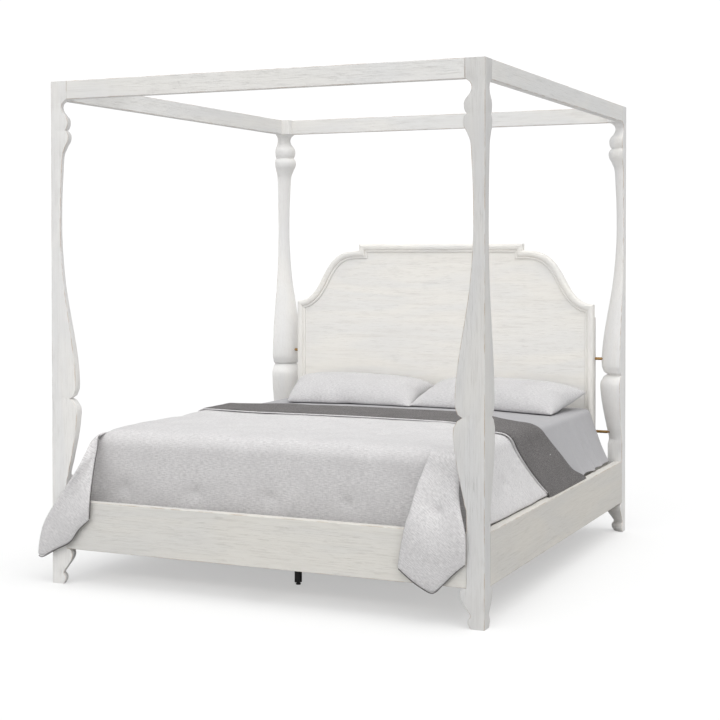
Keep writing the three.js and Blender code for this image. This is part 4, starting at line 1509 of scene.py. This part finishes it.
# %% A flap
FLAP_FILL = 0.014
flap_edges = {}  # the lower and the right edge of each flap, for its cords


def flap(name, top, bottom, left, right, seed, puffed, dimple=None):
    """A hanging corner between four edges. dimple is the (x, z) of a buttoned hollow."""
    rows, columns = 34, 22
    flap_edges[name] = (run_through(bottom, 60), run_through(right, 60))
    grid = coons(
        run_through(top, columns),
        run_through(bottom, columns),
        run_through(left, rows),
        run_through(right, rows),
        puffed,
        seed,
    )
    flat = [[(p.x * 0.8 - p.z * 0.6, p.x * 0.6 + p.z * 0.8 + seed) for p in row] for row in grid]
    if dimple:
        for row in grid:
            for p in row:
                away = math.hypot(p.x - dimple[0], (p.z - dimple[1]) * 1.5)
                p.y += 0.026 * bell(away, 0.024) + 0.010 * bell(away, 0.08)
    piece = sewn_cloth(name, grid, flat, FLAP_FILL)
    place(piece, [heather, charcoal], "heathered_cover")
    return piece


print("a flap is", FLAP_FILL, "m thick")

# %% The two flaps
flap_right = flap(
    "corner_flap_right",
    [(770, -1040, 715), (830, -1044, 715), (900, -1050, 702), (930, -1062, 670)],
    [(692, -1266, 234), (756, -1268, 185), (809, -1268, 153), (858, -1266, 136),
     (898, -1264, 170), (951, -1262, 225), (1005, -1262, 271)],
    [(770, -1040, 715), (781, -1108, 708), (766, -1128, 652), (752, -1186, 573),
     (743, -1240, 488), (725, -1263, 414), (706, -1266, 320), (692, -1266, 234)],
    [(930, -1062, 670), (934, -1120, 631), (950, -1188, 563), (978, -1240, 490),
     (1003, -1262, 420), (1009, -1263, 340), (1005, -1262, 271)],
    1, 0.016, dimple=(0.862, 0.480),
)  # fmt: skip
flap_left = flap(
    "corner_flap_left",
    [(-932, -1050, 680), (-925, -1046, 696), (-912, -1044, 704), (-896, -1042, 710)],
    [(-1148, -1272, 136), (-1119, -1273, 122), (-1045, -1272, 161), (-963, -1270, 204),
     (-915, -1268, 267), (-856, -1266, 317)],
    [(-932, -1050, 680), (-930, -1110, 670), (-921, -1190, 636), (-924, -1256, 570),
     (-990, -1268, 470), (-1050, -1270, 393), (-1090, -1271, 336), (-1121, -1272, 278),
     (-1143, -1272, 194), (-1148, -1272, 136)],
    [(-896, -1042, 710), (-903, -1112, 696), (-892, -1140, 650), (-872, -1200, 560),
     (-858, -1248, 450), (-853, -1266, 380), (-856, -1266, 317)],
    2, 0.012,
)  # fmt: skip
print("flaps:", len(flap_left.data.polygons) + len(flap_right.data.polygons), "faces")

# %% [markdown]
# ## The flat sheet
# A plain grey sheet lies under the comforter. It shows between the fold and the headboard, and
# hangs down both sides almost to the rails, with soft pleats where it was pulled. A sheet could
# be dropped on the bed by the solver, but a made bed is pulled straight, so it follows the same
# section as the other covers. It has no filling, only its own thickness and folded side hems.

# %% Sheet measures
SHEET_MID = 0.005
sheet_section = across(SHEET_MID)
SHEET_HALF = float(sheet_section[0][-1]) - 0.004
SHEET_LENGTH = 1.22
SHEET_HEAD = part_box("flat_sheet")[1].y
# Where each pleat is along the bed, how deep and how wide.
PLEATS = ((0.66, 0.020, 0.045), (0.83, 0.013, 0.035), (0.45, 0.009, 0.05))
print("sheet:", round(2 * SHEET_HALF, 3), "by", SHEET_LENGTH)


# %% Flat sheet
def sheet_point(y, a):
    x, z = on_section(sheet_section, a)
    down = max(0.0, (abs(a) - edge_a) / (SHEET_HALF - edge_a))
    wave = sum(depth * bell(y - middle - 0.05 * down, width) for middle, depth, width in PLEATS)
    wave += 0.004 * ripple((a, y, 0), 5, 8) + 0.0014 * ripple((a, y, 0), 17, 9)
    x += math.copysign(wave * min(1.0, down * 1.6), a)
    z += 0.0012 * ripple((a, y, 0), 13, 10) * (1 - min(1.0, down * 4))
    return Vector((x, y, z)), (a, y)


def hem_fill(flat_points):
    """The side hems are folded double, so they are thicker than the cloth."""
    side = np.abs(np.array(flat_points)[:, 0])
    return 0.0022 + 0.0016 * smoothstep(SHEET_HALF - 0.030, SHEET_HALF - 0.026, side)


grid, flat = lay_out(
    np.linspace(SHEET_HEAD - SHEET_LENGTH, SHEET_HEAD, 70),
    np.linspace(-SHEET_HALF, SHEET_HALF, 150)[::-1],
    sheet_point,
)
flat_sheet = sewn_cloth("flat_sheet_with_hem", grid, flat, hem_fill, 0.002)
place(flat_sheet, [grey_sheet, grey_sheet], "grey_sheet", ["flat_sheet"])
print("sheet:", len(flat_sheet.data.polygons), "faces")

# %% [markdown]
# ## Mattress and box foundation
# Both are upholstered boxes with rounded upright corners. The mattress is quilted, so its top
# and bottom swell between rows of stitches, and its walls bulge between two bound edges. A cube
# with a bevel has no points to pull down at the stitches, so the loft of the posts makes these
# too: its rings shrink towards the middle over the top and bottom.


# %% A rounded rectangle
def rounded_ring(half_x, half_y, radius, arc_steps=7, side_steps=22):
    """Points once around a rectangle with rounded corners."""
    points = []
    for k, (sx, sy) in enumerate(((1, -1), (1, 1), (-1, 1), (-1, -1))):
        cx, cy = sx * (half_x - radius), sy * (half_y - radius)
        for i in range(arc_steps + 1):
            angle = math.radians(-90 + 90 * k + 90 * i / arc_steps)
            points.append((cx + radius * math.cos(angle), cy + radius * math.sin(angle)))
        nx, ny = ((1, 1), (-1, 1), (-1, -1), (1, -1))[k]
        end = (nx * (half_x - radius), ny * (half_y - radius))
        start = points[-1]
        angle = math.radians(90 * k)
        target = (
            end[0] + (radius * math.cos(angle) if k in (0, 2) else 0),
            end[1] + (radius * math.sin(angle) if k in (1, 3) else 0),
        )
        for i in range(1, side_steps):
            t = i / side_steps
            points.append(tuple(s + (e - s) * t for s, e in zip(start, target)))
    return points


print("points around a mattress:", len(rounded_ring(1, 1, 0.1)))

# %% An upholstered box
QUILT_SPACING = 0.19


def upholstered(name, node, radius, soft, quilt, bulge):
    """soft is the radius of its long edges, quilt how deep the stitches pull, and bulge how far
    the walls stand out. Returns the piece and the measures that its bindings follow."""
    low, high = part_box(node)
    mid_x, mid_y = (low.x + high.x) / 2, (low.y + high.y) / 2
    half_x, half_y = (high.x - low.x) / 2 - bulge, (high.y - low.y) / 2 - bulge
    levels = []  # (inset, height, swell of the wall)
    cap = np.linspace(0.97, 0, 16)
    for share in cap[:-1]:
        levels.append((share, low.z, 0))
    for angle in np.linspace(0, math.pi / 2, 6):
        levels.append((-soft * (1 - math.sin(angle)), low.z + soft * (1 - math.cos(angle)), 0))
    for t in np.linspace(0, 1, 9)[1:-1]:
        levels.append((0, low.z + soft + (high.z - low.z - 2 * soft) * t, math.sin(math.pi * t)))
    for angle in np.linspace(math.pi / 2, 0, 6):
        levels.append((-soft * (1 - math.sin(angle)), high.z - soft * (1 - math.cos(angle)), 0))
    for share in reversed(cap[:-1]):
        levels.append((share, high.z, 0))
    rings = []
    for inset, z, wall in levels:
        ring = []
        shrink = 1 - inset if inset > 0 else 1
        pull = soft if inset > 0 else -inset
        for x, y in rounded_ring(half_x - pull, half_y - pull, max(radius - pull, 0.01)):
            x, y = x * shrink, y * shrink
            out = Vector((x, y, 0)).normalized() * (bulge * wall)
            dz = 0.0
            if inset > 0:
                one, other = (math.sin(math.pi * d / QUILT_SPACING) for d in (x + y, x - y))
                cell = abs(one * other)
                dz = -quilt * (1 - cell**0.5) * (1 if z == high.z else -1)
            ring.append((mid_x + x + out.x, mid_y + y + out.y, z + dz))
        rings.append(ring)
    vertices, faces = loft(rings)
    piece = link_mesh(name, vertices, faces)
    face_out(piece)
    maps = []
    for face in piece.data.polygons:
        flat_face = abs(face.normal.z) > 0.7
        along_x = abs(face.normal.y) > abs(face.normal.x)
        for v in face.vertices:
            p = piece.data.vertices[v].co
            maps.append((p.x, p.y) if flat_face else (p.x if along_x else p.y, p.z))
    set_cloth_map(piece, maps)
    smooth(piece, 60)
    place(piece, ticking, "mattress_ticking", [node])
    return piece, (mid_x, mid_y, half_x, half_y, radius, low.z, high.z)


print("quilted every", QUILT_SPACING, "m")


# %% Piping cord
def cord(name, path, radius, material, slot, closed=True, sides=8):
    """A piping cord along a path of points."""
    count = len(path)
    vertices, faces = [], []
    for i, p in enumerate(path):
        before = path[(i - 1) % count if closed else max(i - 1, 0)]
        after = path[(i + 1) % count if closed else min(i + 1, count - 1)]
        way = (Vector(after) - Vector(before)).normalized()
        side = way.cross(Vector((0, 0, 1)))
        side = side.normalized() if side.length > 1e-4 else Vector((1, 0, 0))
        up = side.cross(way)
        for k in range(sides):
            angle = 2 * math.pi * k / sides
            vertices.append(Vector(p) + (side * math.cos(angle) + up * math.sin(angle)) * radius)
    for i in range(count if closed else count - 1):
        j = (i + 1) % count
        for k in range(sides):
            m = (k + 1) % sides
            faces.append((i * sides + k, i * sides + m, j * sides + m, j * sides + k))
    if not closed:
        faces += [tuple(range(sides)), tuple(range((count - 1) * sides, count * sides))]
    piece = link_mesh(name, vertices, faces)
    face_out(piece)
    corners = [loop.vertex_index for loop in piece.data.loops]
    set_cloth_map(piece, [(v // sides * 0.01, v % sides * 0.002) for v in corners])
    piece.data.shade_smooth()
    return place(piece, material, slot)


print("cords ready")

# %% Mattress and foundation
BINDING_R = 0.0035
for name, node, radius, soft, quilt, bulge in (
    ("quilted_mattress", "mattress", 0.06, 0.024, 0.007, 0.006),
    ("upholstered_foundation", "box_foundation", 0.045, 0.008, 0.0, 0.002),
):
    _, (mx, my, hx, hy, r, z0, z1) = upholstered(name, node, radius, soft, quilt, bulge)
    for label, z in (("lower", z0 + soft), ("upper", z1 - soft)):
        path = [(mx + x, my + y, z) for x, y in rounded_ring(hx, hy, r)]
        cord(f"{name}_{label}_binding", path, BINDING_R, ticking, "mattress_ticking")
print("mattress and foundation with four bound edges")

# %% [markdown]
# ## The pillow shams
# A sham is two panels sewn together round their edges, with a pillow inside that is a little too
# big. The shape nobody can draw by hand is what the seam does as the pillow fills it: the edges
# pull in, the corners stay as points and the cloth puckers along the seam. So two flat layers are
# blown up by the cloth solver for a few frames. Its result alone is too round and too narrow at
# the waist for a pillow of loose filling, so it is mixed with the flat outline and with a drawn
# crown. The sham is then laid down: it leans back on the mattress, and wherever it would go into
# the sheet it is pressed flat instead.

# %% Two flat panels for a sham
SHAM_LENGTH, SHAM_DEPTH = 0.95, 0.555
SHAM_CELL = 0.0231


def sham_point(x, y):
    return Vector((x, y, 0.0002 * ripple((x, y, 0), 30, 12))), (x, y)


def sham_mesh(name):
    nx, ny = round(SHAM_LENGTH / SHAM_CELL), round(SHAM_DEPTH / SHAM_CELL)
    xs = [(i / nx - 0.5) * SHAM_LENGTH for i in range(nx + 1)]
    ys = [(j / ny - 0.5) * SHAM_DEPTH for j in range(ny + 1)]
    return sewn_cloth(name, *lay_out(xs, ys, sham_point), 0.012, 0.05, refined=False)


print("a sham's panels are", SHAM_LENGTH, "by", SHAM_DEPTH, "m")


# %% Blow up a sham
def blow_up(piece, pressure, frames, most):
    """Runs the cloth solver and keeps its result, with no point moved further than most."""
    cloth = piece.modifiers.new("blow up", "CLOTH")
    settings = cloth.settings
    settings.quality = 6
    settings.mass = 0.25
    settings.tension_stiffness = settings.compression_stiffness = 30
    settings.shear_stiffness = 15
    settings.bending_stiffness = 0.6
    settings.use_pressure = True
    settings.uniform_pressure_force = pressure
    settings.effector_weights.gravity = 0
    cloth.collision_settings.use_self_collision = False
    cloth.point_cache.frame_start, cloth.point_cache.frame_end = 1, frames
    for number in range(1, frames + 1):
        scene.frame_set(number)
    before = np.array([v.co for v in piece.data.vertices])
    apply_modifiers(piece)
    after = np.array([v.co for v in piece.data.vertices])
    move = after - before
    length = np.linalg.norm(move, axis=1)
    move *= np.minimum(1, most / np.maximum(length, 1e-9))[:, None]
    piece.data.vertices.foreach_set("co", (before + move).ravel())
    scene.frame_set(1)


print("solver ready, skipped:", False)

# %% The shape of a filled sham
SHAM_PRESSURE, SHAM_FRAMES, SHAM_MOST = 4.0, 20, 0.16
SHAM_W, SHAM_D = 0.895, 0.47
SHAM_UP, SHAM_DOWN = 0.114, 0.060
FLAT_SHARE = 0.6  # how much of the flat outline is kept against the solver's drawn-in one
CROWN_SHARE = 0.62  # how much of the height is the drawn crown


def filled_height(u, w, share):
    """The filling stands the upper panel up and leaves the lower one nearly flat. The solver's
    own shape, puckers and all, is mixed with a crown."""
    crown = max(0, 1 - abs(u) ** 5) ** 0.5 * max(0, 1 - abs(w) ** 2.4) ** 0.6
    upper = 1 if share > 0 else -1
    rise = CROWN_SHARE * crown * upper + (1 - CROWN_SHARE) * share if abs(share) > 1e-4 else 0
    return rise * (SHAM_UP if rise > 0 else SHAM_DOWN)


print("height in the middle:", filled_height(0, 0, 1), "and below:", filled_height(0, 0, -1))

# %% Where a sham lies
SHAM_TILT = math.radians(10.5)
SHAM_Z = 0.748
HEADBOARD_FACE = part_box("moulding_side_right")[0].y
SHEET_TOP = 0.008  # above the mattress
TURNED_END = 0.045  # above the sheet
SOFT = 0.012


def press_down(px, py, pz):
    """The height of a point once what would go into the bed is pressed flat on it."""
    support = TOP + SHEET_TOP + CROWN * max(0.0, 1 - (px / SIDE) ** 2)
    support -= 0.9 * max(0, abs(px) - SIDE + 0.02)
    if py < fold_head(px) + 0.01:
        support += TURNED_END
    if pz < support + SOFT:
        pz = support + SOFT * math.exp((pz - support - SOFT) / SOFT)
    return pz


print("a point far below is pressed up to", round(press_down(0, 0.9, 0), 3))


# %% Lay a sham
def lay_sham(name, node, middle_x, middle_y, yaw, taper, seed):
    """yaw turns it on the bed, and taper draws in the front of its outer end."""
    piece = sham_mesh(name)
    unblown = np.array([v.co for v in piece.data.vertices])
    blow_up(piece, SHAM_PRESSURE, SHAM_FRAMES, SHAM_MOST)
    points = np.array([v.co for v in piece.data.vertices])
    span = points.max(0) - points.min(0)
    blown = points[:, 2] / max(span[2] / 2, 1e-3)
    for v, p, before, share in zip(piece.data.vertices, points, unblown, blown):
        u, w = 2 * before[0] / SHAM_LENGTH, 2 * before[1] / SHAM_DEPTH
        x = SHAM_W * (0.5 * u * FLAT_SHARE + p[0] / span[0] * (1 - FLAT_SHARE))
        y = SHAM_D * (0.5 * w * FLAT_SHARE + p[1] / span[1] * (1 - FLAT_SHARE))
        if u * middle_x > 0:
            x *= 1 - taper * u * math.copysign(1, middle_x) * (1 - w) / 2
        z = filled_height(u, w, share)
        z += 0.005 * ripple((x, y, z), 6, seed) + 0.0022 * ripple((x, y, z), 22, seed + 1)
        y += 0.008 * ripple((x, z, 0), 5, seed + 2)
        yy = y * math.cos(SHAM_TILT) - z * math.sin(SHAM_TILT)
        zz = y * math.sin(SHAM_TILT) + z * math.cos(SHAM_TILT)
        px = middle_x + (x * math.cos(yaw) - yy * math.sin(yaw))
        py = middle_y + (x * math.sin(yaw) + yy * math.cos(yaw))
        v.co = (px, min(py, HEADBOARD_FACE - 0.004), press_down(px, py, SHAM_Z + zz))
    refine(piece)
    piece.data.shade_smooth()
    place(piece, [heather_painted_shade_for_shams, charcoal], "heathered_cover", [node])
    return piece


print("sham tilt:", round(math.degrees(SHAM_TILT), 1), "degrees")

# %% The two shams
shams = [
    lay_sham("filled_sham_left", "sham_left", -0.440, 0.862, math.radians(2), 0.30, 21),
    lay_sham("filled_sham_right", "sham_right", 0.452, 0.862, math.radians(-4.5), 0.09, 31),
]
for sham in shams:
    corners = [sham.matrix_world @ v.co for v in sham.data.vertices]
    print(sham.name, [round(f(c[k] for c in corners), 3) for k in range(3) for f in (min, max)])

# %% [markdown]
# ## Small sewn details
# The comforter is held together by tufts: a few turns of thread pulled through and knotted. Its
# turned-back edge is bound with a pale piping cord. A tuft could be painted on, but it is the
# knot's own shadow that shows. Each knot is put where a straight line meets the finished cloth,
# so it sits on whatever shape that ended up with, and the cords follow the curves that the edges
# were made from.

# %% Tuft knots
bpy.context.view_layer.update()
cover_tree = BVHTree.FromObject(comforter, bpy.context.evaluated_depsgraph_get())
KNOT = [(0.2, -1.2), (2.6, -1.0), (3.6, 0.0), (3.0, 1.1), (1.5, 1.7), (0.2, 1.9)]


def tie_knot(name, tree, start, way):
    """A knot on the first cloth that a line from start meets, or nothing if it meets none."""
    hit, normal, _, _ = tree.ray_cast(Vector(start), Vector(way))
    if hit is None:
        return None
    knot = lathe(name, KNOT, hit, normal, 12)
    set_cloth_map(knot)
    return place(knot, heather, "heathered_cover")


knots = 0
for a, b in tufts:
    if abs(a) <= edge_a - 0.05 and FOOT_Y + 0.09 < b < fold_foot(a) - 0.03:
        x, z = on_section(comforter_section, a)
        if tie_knot(f"tuft_knot_{knots}", cover_tree, (x, b, z + 0.3), (0, 0, -1)):
            knots += 1
print("tuft knots:", knots)

# %% Piping of the turned-back edge
PIPING_R = 0.0032
path = []
for a in np.linspace(-half_cloth, half_cloth, 150):
    y = fold_foot(a)
    x, z = on_section(across_cached(TURN_MID - 0.002), a)
    path.append((x, y - 0.001, z))
cord("turned_back_piping", path, PIPING_R, heather, "heathered_cover", closed=False)
print("piping points:", len(path))

# %% The charcoal reverse, seen as a thin dark line along the free edges of the flaps
EDGE_CORD_R = 0.0022
UP = Vector((0, 0, 0.0045))


def flap_cord(name, path):
    cord(name, path, EDGE_CORD_R, charcoal, "charcoal_reverse", closed=False)


for name, (bottom, right) in flap_edges.items():
    flap_cord(name + "_lower_edge", [p + UP for p in bottom[2:-1]])
    if name.endswith("left"):
        flap_cord(name + "_inner_edge", right[8:-1])
print("edge cords on", list(flap_edges))

# %% One pale tuft on each hanging end of the turned-back band
HANGING_TUFTS = (("left", -1, 0.08), ("right", 1, 0.03))
HANGING_TUFT_Z = 0.575
turn_tree = BVHTree.FromObject(turnback, bpy.context.evaluated_depsgraph_get())
for side, sign, y in HANGING_TUFTS:
    start = (sign * 1.4, y, HANGING_TUFT_Z)
    knot = tie_knot(f"turned_back_tuft_{side}", turn_tree, start, (-sign, 0, 0))
    print("tuft on the", side, "end:", knot is not None)

# %% [markdown]
# ## The floor's finish
# A seamless studio floor is lit so brightly that it turns plain white, yet it still darkens
# softly under the bed. A white floor lit by these lights alone would have a grey shadow. So part
# of what the camera sees is the floor's own pale glow, and the rest is light that falls on it: the
# shadow keeps its shape but stays light. The glow is for the camera only and lights nothing.

# %% Floor finish
FLOOR_PALE = (0.50, 0.50, 0.50, 1)
FLOOR_DARK = (0.485, 0.485, 0.485, 1)
FLOOR_GLOW = 0.45
made, tree, shader = start_material("studio_floor")
place_on_floor = add_node(tree, "ShaderNodeTexCoord").outputs["Object"]
grit = stretched_noise(tree, place_on_floor, (60, 60, 60), 3.0, 0.6)
pale_floor = mix_color(tree, grit, FLOOR_PALE, FLOOR_DARK)
plug(tree, shader.inputs["Base Color"], pale_floor)
shader.inputs["Roughness"].default_value = 0.9
shader.inputs["Specular IOR Level"].default_value = 0.1
shader.inputs["Emission Color"].default_value = WHITE
looking = add_node(tree, "ShaderNodeLightPath").outputs["Is Camera Ray"]
plug(tree, shader.inputs["Emission Strength"], math_node(tree, "MULTIPLY", looking, FLOOR_GLOW))
bump(tree, shader, grit, 0.0003)
floor.data.materials.append(made)
print("floor finish ready")
